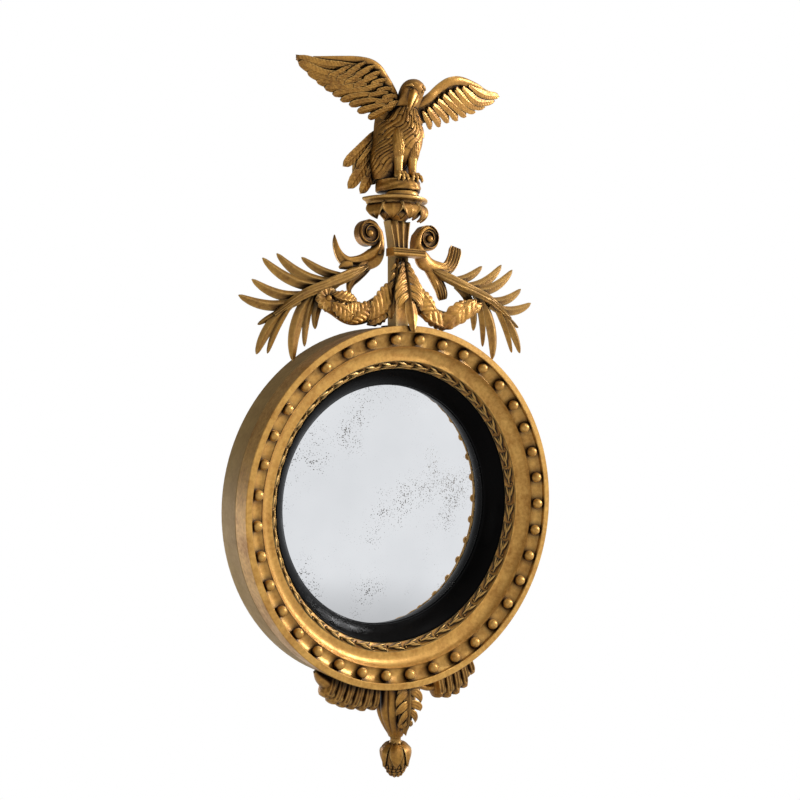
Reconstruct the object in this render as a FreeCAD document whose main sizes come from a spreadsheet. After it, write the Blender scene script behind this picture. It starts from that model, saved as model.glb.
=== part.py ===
import FreeCAD, Part
import Sketcher
import math
import os

from FreeCAD import Placement, Rotation, Vector

# A girandole: a round convex mirror in a deep gilded drum frame, with an eagle on a leafy crest above
# and a leaf pendant below.  The back of the drum lies in the plane y = 0 and the front faces -Y.
# The origin is the centre of the drum on that back face, +Z is up and every size is in millimetres.

doc = FreeCAD.newDocument("girandole_mirror")
sheet = doc.addObject("Spreadsheet::Sheet", "Sizes")

# ---------------------------------------------------------------- driving sizes
SIZES = [
    # drum frame, radii counted from the outside in and depths from the back forward
    ("ring_radius", 300), ("front_depth", 88), ("joint_depth", 50), ("joint_groove", 1.2),
    ("rim_width", 11), ("rim_drop", 7), ("hollow_width", 22.5), ("hollow_depth", 74.5),
    ("hollow_curve", 17), ("bead_step", 1.5), ("bead_width", 20.5), ("bead_curve", 17),
    ("fillet_width", 3), ("fillet_depth", 62), ("band_width", 12.7), ("band_back", 56.5), ("band_front", 47),
    ("spigot_width", 31.5), ("spigot_length", 10), ("fit_gap", 0.3),
    ("ball_radius", 9), ("ball_count", 37), ("ball_turn", 2.0), ("ball_seat", 6.5),
    # black slip and glass
    ("slip_reed", 2), ("slip_reed_rise", 2), ("slip_width", 26), ("slip_lip", 3), ("lip_depth", 22),
    ("lip_slope", 1.6), ("scoop_curve", 44), ("flange_width", 13), ("flange_thickness", 6.7),
    ("rebate_width", 5.5), ("slip_back", 14), ("slip_back_width", 8.5),
    ("glass_curve", 814), ("glass_thickness", 3), ("glass_gap", 0.3), ("block_count", 6),
    ("block_length", 26), ("block_reach", 6),
    # back of the drum
    ("carcass_width", 54), ("board_seat", 10), ("board_thickness", 8), ("board_gap", 0.5),
    ("board_screw_count", 6), ("slip_screw_count", 4), ("screw_radius", 1.6), ("screw_head", 3.2),
    ("screw_length", 16), ("slip_screw_length", 14), ("hole_gap", 0.15),
    # hangers
    ("hanger_angle", 48), ("hanger_inset", 22), ("pocket_width", 17), ("pocket_depth", 6),
    ("pocket_half_height", 18.5), ("strap_width", 9), ("strap_thickness", 1.2), ("strap_length", 17),
    ("loop_radius", 2.7), ("loop_bore", 1.5), ("bail_wire", 1.2), ("bail_half_width", 6.6),
    ("bail_length", 15.5), ("bail_foot_half_width", 4), ("hanger_screw_radius", 1.2),
    ("hanger_screw_head", 2.2), ("hanger_screw_length", 10),
    # crest, heights counted from the top of the drum and depths from the back forward
    ("crest_back", 35), ("post_half_width", 12.5), ("crest_front", 60), ("collar_height", 115),
    ("collar_rise", 13), ("collar_half_width", 32), ("collar_front", 86), ("collar_reed", 2),
    ("stem_top", 177), ("stem_top_half_width", 21), ("stem_top_front", 54), ("flute_depth", 3),
    ("cup_top", 203), ("cup_radius", 47), ("petal_count", 7), ("petal_reach", 57), ("petal_length", 25),
    ("petal_half_width", 12), ("abacus_rise", 12), ("abacus_radius", 60), ("abacus_neck", 53),
    ("plinth_radius", 28), ("plinth_rise", 8), ("plinth_depth", 59),
    ("eye_across", 58.4), ("eye_height", 153), ("volute_radius", 22), ("volute_back", 37),
    ("volute_front", 58), ("volute_relief", 3), ("stalk_width", 26), ("stalk_step", 6.4),
    ("bracket_thickness", 3), ("bracket_half_width", 9), ("bracket_height", 75), ("bracket_foot", 26),
    # eagle
    ("rock_rise", 23), ("body_back", 30), ("head_height", 382), ("head_radius", 22), ("wing_thickness", 9),
    ("dowel_radius", 4), ("dowel_depth", 45), ("dowel_sink", 12),
    # apron and pendant, heights counted down from the lowest point of the drum
    ("apron_depth", 40), ("bell_radius", 34), ("bell_drop", 90), ("neck_radius", 10.8), ("neck_length", 11),
    ("bud_radius", 27), ("bud_length", 44), ("berry_radius", 17.5), ("berry_length", 15),
    ("apron_dowel_radius", 5), ("apron_dowel_length", 30),
]

# sizes worked out from the ones above
DERIVED = [
    ("rim_inner", "ring_radius - rim_width"), ("rim_foot", "front_depth - rim_drop"),
    ("hollow_inner", "rim_inner - hollow_width"), ("bead_top", "hollow_depth + bead_step"),
    ("bead_inner", "hollow_inner - bead_width"),
    ("fillet_inner", "bead_inner - fillet_width"), ("sight_radius", "fillet_inner - band_width"),
    ("spigot_radius", "sight_radius + spigot_width"), ("spigot_depth", "joint_depth - spigot_length"),
    ("groove_radius", "ring_radius - joint_groove"),
    ("groove_back", "joint_depth - joint_groove"),
    ("slip_outer", "sight_radius - fit_gap"), ("reed_top", "band_front + slip_reed_rise"),
    ("reed_ridge", "slip_outer - slip_reed"), ("reed_inner", "reed_ridge - slip_reed"),
    ("slip_inner", "slip_outer - slip_width"),
    ("lip_back", "lip_depth - slip_lip"), ("lip_ridge", "lip_depth + lip_slope"),
    ("lip_ridge_radius", "slip_inner + lip_slope"), ("flange_radius", "slip_outer + flange_width"),
    ("flange_front", "spigot_depth - fit_gap"), ("flange_back", "flange_front - flange_thickness"),
    ("rebate_radius", "slip_inner + rebate_width"), ("slip_back_radius", "rebate_radius + slip_back_width"),
    ("glass_radius", "rebate_radius - glass_gap"),
    ("glass_fall", "sqrt(glass_curve ^ 2 - slip_inner ^ 2) - sqrt(glass_curve ^ 2 - glass_radius ^ 2)"),
    ("glass_edge", "lip_back - glass_gap - glass_fall"), ("glass_edge_back", "glass_edge - glass_thickness"),
    ("glass_sag", "glass_curve - sqrt(glass_curve ^ 2 - glass_radius ^ 2)"), ("glass_front", "glass_edge + glass_sag"),
    ("carcass_inner", "ring_radius - carcass_width"), ("spigot_bore", "spigot_radius + fit_gap"),
    ("spigot_floor", "spigot_depth - fit_gap"), ("board_bore", "carcass_inner + board_seat"),
    ("board_radius", "board_bore - board_gap"), ("board_screw_circle", "carcass_inner + board_seat / 2"),
    ("slip_screw_circle", "sight_radius + flange_width / 2"),
    ("hanger_radius", "ring_radius - hanger_inset"), ("hinge_depth", "pocket_depth - loop_radius"),
]

for row, (alias, value) in enumerate(SIZES + DERIVED, start=1):
    cell = f"B{row}"
    sheet.set(f"A{row}", alias)
    sheet.set(cell, str(value) if not isinstance(value, str) else "=" + value)
    sheet.setAlias(cell, alias)
doc.recompute()


def size(alias):
    """The value of a size, with an optional minus sign before its name."""
    if alias.startswith("-"):
        return -size(alias[1:])
    return float(sheet.get(alias)) if alias != "zero" else 0.0


parts = []


def keep(node):
    parts.append(node)
    return node


def plane(body, role):
    return next(f for f in body.Origin.OriginFeatures if f.Role == role)


def bind(thing, prop, alias):
    """Ties a property to a size, so that it follows the sheet."""
    sign = "-" if alias.startswith("-") else ""
    thing.setExpression(prop, f"{sign}Sizes.{alias.lstrip('-')}")


def profile(body, role, corners, curves=None):
    """A closed outline through corners, each a pair of size names.

    curves gives, for the edge that leaves a corner, the radius of its curve, the side it bulges to and
    the number of flats that the curve is turned in.
    """
    sketch = body.newObject("Sketcher::SketchObject", body.Label + "_outline")
    sketch.AttachmentSupport = (plane(body, role), [""])
    sketch.MapMode = "FlatFace"
    spots = []
    for i, corner in enumerate(corners):
        here = Vector(size(corner[0]), size(corner[1]), 0)
        spots.append((here, corner))
        if i in (curves or {}):
            after = corners[(i + 1) % len(corners)]
            there = Vector(size(after[0]), size(after[1]), 0)
            spots += [(spot, None) for spot in curve_between(here, there, *curves[i])]
    count = len(spots)
    for i in range(count):
        sketch.addGeometry(Part.LineSegment(spots[i][0], spots[(i + 1) % count][0]), False)
    for i in range(count):
        sketch.addConstraint(Sketcher.Constraint("Coincident", i, 2, (i + 1) % count, 1))
    for i, (spot, corner) in enumerate(spots):
        if corner is None:
            sketch.addConstraint(Sketcher.Constraint("DistanceX", -1, 1, i, 1, spot.x))
            sketch.addConstraint(Sketcher.Constraint("DistanceY", -1, 1, i, 1, spot.y))
            continue
        for kind, alias in zip(("DistanceX", "DistanceY"), corner):
            if alias == "zero":
                on_axis = -2 if kind == "DistanceX" else -1
                sketch.addConstraint(Sketcher.Constraint("PointOnObject", i, 1, on_axis))
                continue
            n = sketch.addConstraint(Sketcher.Constraint(kind, -1, 1, i, 1, size(alias)))
            bind(sketch, f"Constraints[{n}]", alias)
    return sketch


def curve_between(here, there, radius, side, flats):
    """Points along an arc from one corner to the next, ends left out."""
    chord = there - here
    across = Vector(-chord.y, chord.x, 0).normalize() * side
    centre = (here + there) / 2 - across * math.sqrt(size(radius) ** 2 - (chord.Length / 2) ** 2)
    sweep = 2 * math.asin(chord.Length / 2 / size(radius)) * -side
    return [centre + Rotation(Vector(0, 0, 1), math.degrees(sweep * i / flats)).multVec(here - centre)
            for i in range(1, flats)]


def new_body(label):
    body = doc.addObject("PartDesign::Body", label)
    body.Label = label
    return body


def turned(label, corners, curves=None):
    """A piece turned about the mirror's own axis, from an outline of radius against depth."""
    body = new_body(label)
    sketch = profile(body, "XY_Plane", corners, curves)
    spin = body.newObject("PartDesign::Revolution", label + "_turning")
    spin.Profile = sketch
    spin.ReferenceAxis = (sketch, ["V_Axis"])
    spin.Angle = 360
    body.Tip = spin
    doc.recompute()
    return body


def carved(label, shape):
    """A carved piece, whose solid is made below from its own stations."""
    node = doc.addObject("Part::Feature", label)
    node.Label = label
    node.Shape = shape
    return keep(node)


def pierced(label, blank, tools):
    """A piece cut from its turned blank by the holes and pockets of what passes through it."""
    holes = doc.addObject("Part::Feature", label + "_holes")
    holes.Shape = Part.makeCompound(tools)
    node = doc.addObject("Part::Cut", label)
    node.Label = label
    node.Base = blank
    node.Tool = holes
    doc.recompute()
    return keep(node)


# ---------------------------------------------------------------- solids of flat facets
def patch(corners):
    """Flat faces through the corners of one field: a single face if they lie flat, otherwise a fan."""
    spots = [spot for i, spot in enumerate(corners) if (spot - corners[i - 1]).Length > 1e-6]
    if len(spots) < 3:
        return []
    normal = Vector()
    for i, spot in enumerate(spots):
        normal += spots[i - 1].cross(spot)
    level = max(abs(normal.dot(spot - spots[0])) for spot in spots)
    if level <= 1e-6 * normal.Length:
        return [Part.Face(Part.makePolygon(spots + spots[:1]))]
    return [Part.Face(Part.makePolygon([spots[0], spots[i], spots[i + 1], spots[0]]))
            for i in range(1, len(spots) - 1)]


def loft(sections, closed=False):
    """A solid carved in facets through sections of equally many corners; closed ones join end to start."""
    faces = []
    spans = list(zip(sections, sections[1:]))
    if closed:
        spans.append((sections[-1], sections[0]))
    else:
        faces = patch(sections[0]) + patch(sections[-1])
    for near, far in spans:
        for i in range(len(near)):
            j = (i + 1) % len(near)
            faces += patch([near[i], near[j], far[j], far[i]])
    solid = Part.makeSolid(Part.makeShell(faces))
    if solid.Volume < 0:
        solid.reverse()
    return solid


def stacked(outline, sides, centre=Vector(), half=False):
    """Round work of a few sides, from an outline of radius against height; half rounds are flat behind."""
    turn = math.pi if half else 2 * math.pi
    corners = sides + 1 if half else sides
    return loft([[centre + Vector(radius * math.cos(turn * i / sides), -radius * math.sin(turn * i / sides),
                                  height) for i in range(corners)] for radius, height in outline])


def fused(shapes):
    return shapes[0].multiFuse(shapes[1:]).removeSplitter()


def mirrored(shape):
    return shape.mirror(Vector(), Vector(1, 0, 0))


# ---------------------------------------------------------------- screws
SCREW_SIDES = 8
FORWARD = Rotation(Vector(1, 0, 0), 90)
DOWN = Rotation(Vector(1, 0, 0), 180)


def screw(length, radius, head, gap=0.0):
    """A countersunk screw along +Z with its head's flat top at z = 0; with a gap it is the hole for one."""
    rise = head - radius
    return stacked([(head + gap, -gap), (head + gap, 0), (radius + gap, rise), (radius + gap, length + gap)],
                   SCREW_SIDES)


def screws_and_holes(places, length, radius, head):
    """Screws at their places, and the holes they sit in."""
    made = []
    for gap in (0.0, size("hole_gap")):
        one = screw(length, radius, head, gap)
        copies = []
        for where in places:
            copy = one.copy()
            copy.Placement = where
            copies.append(copy)
        made.append(copies)
    return made


def on_circle(circle, depth, count, start=0):
    """Places of screws driven forward, evenly spaced about the mirror's axis."""
    spots = []
    for i in range(round(size(count))):
        turn = Rotation(Vector(0, 1, 0), start + 360 * i / round(size(count)))
        spots.append(Placement(turn.multVec(Vector(size(circle), -size(depth), 0)), FORWARD))
    return spots


board_screws, board_holes = screws_and_holes(on_circle("board_screw_circle", "zero", "board_screw_count"),
                                             size("screw_length"), size("screw_radius"), size("screw_head"))
slip_screws, slip_holes = screws_and_holes(on_circle("slip_screw_circle", "flange_back", "slip_screw_count"),
                                           size("slip_screw_length"), size("screw_radius"),
                                           size("screw_head"))

# ---------------------------------------------------------------- drum frame
# The carcass hoop carries everything: its back rebate holds the board, its counterbored mouth the moulding.
rear_blank = turned("rear_ring_blank", [
    ("spigot_bore", "-joint_depth"), ("groove_radius", "-joint_depth"), ("ring_radius", "-groove_back"),
    ("ring_radius", "zero"), ("board_bore", "zero"), ("board_bore", "-board_thickness"),
    ("carcass_inner", "-board_thickness"), ("carcass_inner", "-spigot_floor"), ("spigot_bore", "-spigot_floor"),
])

# The turned front: flat rim, hollow for the balls, fat bead, thin fillet and a sloping seat for the leaf band.
front_blank = turned("front_moulding_blank", [
    ("ring_radius", "-joint_depth"), ("ring_radius", "-front_depth"), ("rim_inner", "-front_depth"),
    ("rim_inner", "-rim_foot"), ("hollow_inner", "-hollow_depth"), ("hollow_inner", "-bead_top"),
    ("bead_inner", "-fillet_depth"), ("fillet_inner", "-fillet_depth"), ("fillet_inner", "-band_back"),
    ("sight_radius", "-band_front"), ("sight_radius", "-spigot_depth"), ("spigot_radius", "-spigot_depth"),
    ("spigot_radius", "-joint_depth"),
], {3: ("hollow_curve", -1, 3), 5: ("bead_curve", 1, 3)})
pierced("front_moulding", front_blank, slip_holes)


def faceted_ball(radius, seat, sides=8, rows=3):
    """A ball flattened where it is glued down, as rings of a few sides; the flat lies at z = -seat."""
    low = -math.asin(seat / radius)
    rings = []
    for row in range(rows):
        lift = low + (math.pi / 2 - low) * row / rows
        ring = [Vector(radius * math.cos(lift) * math.cos(2 * math.pi * i / sides),
                       radius * math.cos(lift) * math.sin(2 * math.pi * i / sides),
                       radius * math.sin(lift)) for i in range(sides)]
        rings.append(ring)
    pole = Vector(0, 0, radius)
    faces = [Part.Face(Part.makePolygon(rings[0] + rings[0][:1]))]
    for lower, upper in zip(rings, rings[1:]):
        for i in range(sides):
            j = (i + 1) % sides
            faces.append(Part.Face(Part.makePolygon([lower[i], lower[j], upper[j], upper[i], lower[i]])))
    for i in range(sides):
        j = (i + 1) % sides
        faces.append(Part.Face(Part.makePolygon([rings[-1][i], rings[-1][j], pole, rings[-1][i]])))
    return Part.makeSolid(Part.makeShell(faces))


def applied_balls():
    """Gilt balls, each on a small flat that touches the floor of the hollow."""
    outer = Vector(size("rim_inner"), -size("rim_foot"), 0)
    inner = Vector(size("hollow_inner"), -size("hollow_depth"), 0)
    slope = (outer - inner).normalize()
    forward = Vector(slope.y, -slope.x, 0)
    curve = size("hollow_curve")
    hollow = curve - math.sqrt(curve ** 2 - ((outer - inner).Length / 2) ** 2)
    flat = math.sqrt(size("ball_radius") ** 2 - size("ball_seat") ** 2)
    lift = curve - math.sqrt(curve ** 2 - flat ** 2) + size("fit_gap")
    centre = (outer + inner) / 2 + forward * (size("ball_seat") + lift - hollow)
    ball = faceted_ball(size("ball_radius"), size("ball_seat"))
    ball.Placement = Placement(centre, Rotation(Vector(0, 0, 1), forward))
    count = round(size("ball_count"))
    copies = []
    for i in range(count):
        turn = Rotation(Vector(0, 1, 0), size("ball_turn") + 360 * i / count)
        copy = ball.copy()
        copy.Placement = Placement(Vector(), turn).multiply(ball.Placement)
        copies.append(copy)
    return Part.makeCompound(copies)


carved("applied_balls", applied_balls())

# The leaf band is a pressed composition strip, laid on the sloping seat.
def strip_corner(share, rise):
    """A point above the sloping seat: share runs from the fillet to the sight edge."""
    return (size("fillet_inner") - 0.3 - (size("band_width") - 0.3) * share,
            -(size("band_back") + (size("band_front") - size("band_back")) * share) - rise)


def spun(outline):
    """A solid swept by an outline of radius against depth about the mirror's axis."""
    points = [Vector(a, b, 0) for a, b in outline]
    face = Part.Face(Part.makePolygon(points + points[:1]))
    return face.revolve(Vector(0, 0, 0), Vector(0, 1, 0), 360)


carved("ornament_band", spun([strip_corner(0, 0.3), strip_corner(0.02, 3.6), strip_corner(0.55, 3.9),
                              strip_corner(1, 0.3)]))

# The ebonised slip drops in from behind: a reeded outer edge, a wide scoop, a thin lip and a glass rebate.
slip_blank = turned("ebonised_slip_blank", [
    ("slip_outer", "-flange_front"), ("slip_outer", "-band_front"), ("reed_ridge", "-reed_top"),
    ("reed_inner", "-band_front"), ("lip_ridge_radius", "-lip_ridge"), ("slip_inner", "-lip_depth"),
    ("slip_inner", "-lip_back"), ("rebate_radius", "-lip_back"), ("rebate_radius", "-slip_back"),
    ("slip_back_radius", "-slip_back"), ("slip_back_radius", "-flange_back"),
    ("flange_radius", "-flange_back"), ("flange_radius", "-flange_front"),
], {3: ("scoop_curve", -1, 3)})
pierced("ebonised_slip", slip_blank, slip_holes)

# Bent glass: the shell between two spheres of one centre, cut out by a cylinder, bulging forward inside the slip.
def ball_of_glass(label, radius_formula):
    ball = doc.addObject("Part::Sphere", label)
    ball.setExpression("Radius", radius_formula)
    ball.setExpression("Placement.Base.y", "Sizes.glass_curve - Sizes.glass_front")
    return ball


glass_outside = ball_of_glass("glass_outside", "Sizes.glass_curve")
glass_inside = ball_of_glass("glass_inside", "Sizes.glass_curve - Sizes.glass_thickness")
glass_blank = doc.addObject("Part::Cylinder", "glass_blank")
bind(glass_blank, "Radius", "glass_radius")
bind(glass_blank, "Height", "front_depth")
glass_blank.Placement = Placement(Vector(), Rotation(Vector(1, 0, 0), 90))
glass_shell = doc.addObject("Part::Cut", "glass_shell")
glass_shell.Base = glass_outside
glass_shell.Tool = glass_inside
mirror_glass = doc.addObject("Part::Common", "mirror_glass")
mirror_glass.Label = "mirror_glass"
mirror_glass.Base = glass_shell
mirror_glass.Tool = glass_blank
doc.recompute()
keep(mirror_glass)


def around(shape, count, start=0):
    """Copies of a piece evenly spaced about the mirror's axis."""
    copies = []
    for i in range(round(count)):
        copy = shape.copy()
        turn = Rotation(Vector(0, 1, 0), start + 360 * i / round(count))
        copy.Placement = Placement(Vector(), turn).multiply(shape.Placement)
        copies.append(copy)
    return copies


def glazing_blocks():
    """Softwood blocks rubbed down on the slip's back edge, each lapping over the rim of the glass."""
    depth = size("slip_back") - size("board_thickness") - size("fit_gap")
    inner = size("rebate_radius") - size("block_reach")
    radial = size("slip_back_radius") - inner
    block = Part.makeBox(radial, depth, size("block_length"),
                         Vector(inner, -size("slip_back"), -size("block_length") / 2))
    block = block.makeChamfer(1.5, [block.Edges[8]])
    return Part.makeCompound(around(block, size("block_count"), start=30))


carved("glazing_blocks", glazing_blocks())

# The backboard sits flush in the rebate and closes the drum.
backboard_blank = new_body("backboard_blank")
board_sketch = backboard_blank.newObject("Sketcher::SketchObject", "board_outline")
board_sketch.AttachmentSupport = (plane(backboard_blank, "XZ_Plane"), [""])
board_sketch.MapMode = "FlatFace"
board_sketch.addGeometry(Part.Circle(Vector(), Vector(0, 0, 1), size("board_radius")), False)
board_sketch.addConstraint(Sketcher.Constraint("Coincident", 0, 3, -1, 1))
n = board_sketch.addConstraint(Sketcher.Constraint("Radius", 0, size("board_radius")))
bind(board_sketch, f"Constraints[{n}]", "board_radius")
board = backboard_blank.newObject("PartDesign::Pad", "board")
board.Profile = board_sketch
bind(board, "Length", "board_thickness")
backboard_blank.Tip = board
doc.recompute()
pierced("backboard", backboard_blank, board_holes)
carved("backboard_screws", Part.makeCompound(board_screws))
carved("slip_screws", Part.makeCompound(slip_screws))

# ---------------------------------------------------------------- hangers
# Each hanger is a strap folded round a wire bail, sunk in a pocket so that the drum lies flat on the wall.
def bar_loop(corners, radius, sides=6):
    """A closed loop of wire, bent sharply at its corners, which lie in one upright plane."""
    sections = []
    count = len(corners)
    for i, corner in enumerate(corners):
        arrive = (corner - corners[i - 1]).normalize()
        leave = (corners[(i + 1) % count] - corner).normalize()
        mitre = (leave - arrive).normalize()
        stretched = radius / math.sqrt((1 + arrive.dot(leave)) / 2)
        sections.append([corner + mitre * (stretched * math.cos(2 * math.pi * k / sides))
                         + Vector(0, radius * math.sin(2 * math.pi * k / sides), 0) for k in range(sides)])
    return loft(sections, closed=True)


def strap():
    """The strap seen at its own hinge centre: an eye for the wire and a tab with two screws below it."""
    half = size("strap_width") / 2
    sides = 12
    rings = []
    for radius in (size("loop_radius"), size("loop_bore")):
        rings.append([Vector(-half, radius * math.sin(2 * math.pi * k / sides),
                             radius * math.cos(2 * math.pi * k / sides)) for k in range(sides)])
    outer, bore = [Part.Face(Part.makePolygon(ring + ring[:1])).extrude(Vector(2 * half, 0, 0)) for ring in rings]
    tab = Part.makeBox(2 * half, size("strap_thickness"), size("strap_length"),
                       Vector(-half, -size("loop_radius"), -size("strap_length")))
    return outer.fuse(tab).cut(bore).removeSplitter()


pockets = []
hanger_screws = []
hanger_holes = []
for side, name in ((-1, "left"), (1, "right")):
    tilt = math.radians(size("hanger_angle"))
    hinge = Vector(side * size("hanger_radius") * math.cos(tilt), -size("hinge_depth"),
                   size("hanger_radius") * math.sin(tilt))
    pockets.append(Part.makeBox(size("pocket_width"), size("pocket_depth") + 1, 2 * size("pocket_half_height"),
                                Vector(hinge.x - size("pocket_width") / 2, -size("pocket_depth"),
                                       hinge.z - size("pocket_half_height"))))
    on_strap = size("pocket_depth") - size("strap_thickness")
    where = [Placement(Vector(hinge.x, -on_strap, hinge.z - size("strap_length") * share), FORWARD)
             for share in (0.4, 0.8)]
    made, holes = screws_and_holes(where, size("hanger_screw_length"), size("hanger_screw_radius"),
                                   size("hanger_screw_head"))
    hanger_screws += made
    hanger_holes += holes
    plate = strap()
    plate.Placement = Placement(hinge, Rotation())
    carved(name + "_hanger_strap", plate.cut(Part.makeCompound(holes)))
    top = size("bail_half_width")
    foot = size("bail_foot_half_width")
    drop = size("bail_length")
    carved(name + "_hanging_ring", bar_loop([hinge + Vector(-top, 0, 0), hinge + Vector(top, 0, 0),
                                             hinge + Vector(foot, 0, -drop), hinge + Vector(-foot, 0, -drop)],
                                            size("bail_wire")))
carved("hanger_screws", Part.makeCompound(hanger_screws))


# ---------------------------------------------------------------- carving helpers
def horn(stations, across=None):
    """A carved leaf or stalk through stations of (spot, half width, ridge in front, belly behind).

    The section is a four-sided lozenge whose ridge faces forward.
    """
    sections = []
    for i, (spot, half, ridge, belly) in enumerate(stations):
        run = stations[min(i + 1, len(stations) - 1)][0] - stations[max(i - 1, 0)][0]
        side = across or Vector(run.z, 0, -run.x).normalize()
        sections.append([spot + side * half, spot + Vector(0, -ridge, 0),
                         spot - side * half, spot + Vector(0, belly, 0)])
    return loft(sections)


def bowed(base, tip, sag, share):
    """A spot along a bowed run: sag, a share of its length, lies to the right of base to tip."""
    run = tip - base
    right = Vector(run.z, 0, -run.x)
    return base + run * share + right * (4 * sag * share * (1 - share))


LEAFLET = [(0, 0.55, 1), (0.4, 0.95, 0.9), (0.82, 0.85, 0.65), (1, 0.2, 0.35)]


def leaflet(base, tip, sag, half, ridge=6, belly=5):
    """A slim bowed leaf, widest past its middle, with a blunt tip."""
    return horn([(bowed(base, tip, sag, share), half * wide, ridge * deep, belly * deep)
                 for share, wide, deep in LEAFLET])


def slab(outline, back, front):
    """A flat sawn piece between two depths, from its outline on the face."""
    points = [Vector(x, -back, z) for x, z in outline]
    return Part.Face(Part.makePolygon(points + points[:1])).extrude(Vector(0, back - front, 0))


def domed(outline, back, edge, ridge, shrink=0.55):
    """A sawn piece whose front rises from its edges to a smaller field of the same outline."""
    middle = Vector(sum(x for x, z in outline) / len(outline), 0, sum(z for x, z in outline) / len(outline))
    rim = [Vector(x, 0, z) for x, z in outline]
    field = [middle + (spot - middle) * shrink for spot in rim]
    return loft([[spot + Vector(0, -depth, 0) for spot in level]
                 for level, depth in ((rim, back), (rim, edge), (field, ridge))])


TOP = size("ring_radius")
DRUM = Part.makeCylinder(size("ring_radius") + size("fit_gap"), size("front_depth") + 1 + size("fit_gap"),
                         Vector(0, 1, 0), Vector(0, -1, 0))


def place(x, depth, height):
    """A spot of the crest: depth forward of the back, height above the top of the drum."""
    return Vector(x, -depth, TOP + height)


# ---------------------------------------------------------------- crest: post, stem, collar, cup
def section(half, front, back, height, flutes=0, flute=0):
    """A post section with its front face cut by flutes."""
    face = [place(-half, back, height), place(-half, front, height)]
    for i in range(flutes):
        left = half * (2 * i / flutes - 1)
        pitch = 2 * half / flutes
        face += [place(left + pitch * 0.15, front, height), place(left + pitch * 0.5, front - flute, height),
                 place(left + pitch * 0.85, front, height)]
    return face + [place(half, front, height), place(half, back, height)]


BACK = size("crest_back")
FRONT = size("crest_front")
HALF = size("post_half_width")
COLLAR = size("collar_height")
STEM_TOP = size("stem_top")
STEM_WIDE = size("stem_top_half_width")
SEAT = size("fit_gap")

post = loft([section(HALF, FRONT, BACK, -2), section(HALF, FRONT, BACK, COLLAR)]).cut(DRUM)
carved("fluted_stem", loft([
    section(HALF, FRONT, BACK, COLLAR, 3, size("flute_depth")),
    section(STEM_WIDE, size("stem_top_front"), BACK, STEM_TOP, 3, size("flute_depth")),
]))

# An iron angle holds the post upright: its foot is screwed down on the drum, its leg to the post's back.
LEG = size("bracket_thickness")
WIDE = size("bracket_half_width")
leg = Part.makeBox(2 * WIDE, LEG, size("bracket_height"), place(-WIDE, BACK, SEAT))
foot = Part.makeBox(2 * WIDE, size("bracket_foot"), LEG, place(-WIDE, BACK, SEAT))
leg_places = [Placement(place(0, BACK - LEG, size("bracket_height") * share), FORWARD) for share in (0.4, 0.8)]
foot_places = [Placement(place(0, BACK - size("bracket_foot") * share, LEG + SEAT), DOWN)
               for share in (0.45, 0.8)]
bracket_screws, bracket_holes = screws_and_holes(leg_places + foot_places, size("screw_length"),
                                                 size("screw_radius"), size("screw_head"))
carved("crest_post", post.cut(Part.makeCompound(bracket_holes)))
carved("crest_bracket", leg.fuse(foot).removeSplitter().cut(Part.makeCompound(bracket_holes)))
carved("crest_bracket_screws", Part.makeCompound(bracket_screws))

# The collar binds stem and scrolls: three reeds, the lowest one broadest.
REED = size("collar_reed")
RIM = size("collar_front")
collar_face = [(FRONT + SEAT, 0), (RIM - REED, 0), (RIM, REED), (RIM - REED, 5), (RIM - REED / 2, 7),
               (RIM - REED, 9), (RIM - REED / 2, 11), (RIM - REED, size("collar_rise")),
               (FRONT + SEAT, size("collar_rise"))]
carved("collar_band", loft([[place(x, depth, COLLAR + rise) for depth, rise in collar_face]
                            for x in (-size("collar_half_width"), size("collar_half_width"))]))

# The cup: a half-round core with a fan of petals that bulge out and curl in again.
CUP_TOP = size("cup_top")
CUP = size("cup_radius")
core = stacked([(STEM_WIDE, STEM_TOP), (CUP * 0.75, STEM_TOP + 9), (CUP, CUP_TOP - 6), (CUP, CUP_TOP)], 10,
               place(0, BACK, 0), half=True)


def petal(angle):
    reach = size("petal_reach")
    out = Rotation(Vector(0, 0, 1), angle).multVec(Vector(0, -1, 0))
    side = Vector(-out.y, out.x, 0)
    sections = []
    for share, radius, wide, thick in ((0, CUP - 4, 1, 7), (0.3, reach - 2, 1.05, 6), (0.6, reach, 0.9, 6),
                                       (0.85, reach - 7, 0.5, 5), (1, reach - 14, 0.15, 3)):
        centre = place(0, BACK, CUP_TOP - size("petal_length") * share)
        half = size("petal_half_width") * wide
        sections.append([centre + out * (radius - 3) + side * half, centre + out * radius,
                         centre + out * (radius - 3) - side * half, centre + out * (radius - thick - 3)])
    return loft(sections)


petal_count = round(size("petal_count"))
petals = [petal(180 * (i + 0.5) / petal_count - 90) for i in range(petal_count)]
behind_crest = Part.makeBox(400, 200, 400, place(-200, BACK, 0))
cup = fused([core] + petals).cut(behind_crest)

ABACUS_TOP = CUP_TOP + size("abacus_rise")
ROCK_FOOT = ABACUS_TOP + size("plinth_rise")
ROCK_TOP = ROCK_FOOT + size("rock_rise")
WIDEST = size("abacus_radius")
abacus = stacked([(size("abacus_neck"), CUP_TOP), (size("abacus_neck") + 1.5, CUP_TOP + 4),
                  (WIDEST, CUP_TOP + 7), (WIDEST, ABACUS_TOP)], 20, place(0, size("body_back"), 0), half=True)
plinth = stacked([(size("plinth_radius"), ABACUS_TOP), (size("plinth_radius"), ROCK_FOOT)], 24,
                 place(0, size("plinth_depth"), 0))

# ---------------------------------------------------------------- volutes, acanthus and sprays
EYE = (size("eye_across"), size("eye_height"))
SCROLL = size("volute_radius")


def spiral(turn, radius):
    """A spot on the scroll's face: turns run inward from the top of the stalk."""
    angle = math.radians(90) - 2 * math.pi * turn
    return (EYE[0] + radius * math.cos(angle), TOP + EYE[1] + radius * math.sin(angle))


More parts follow.
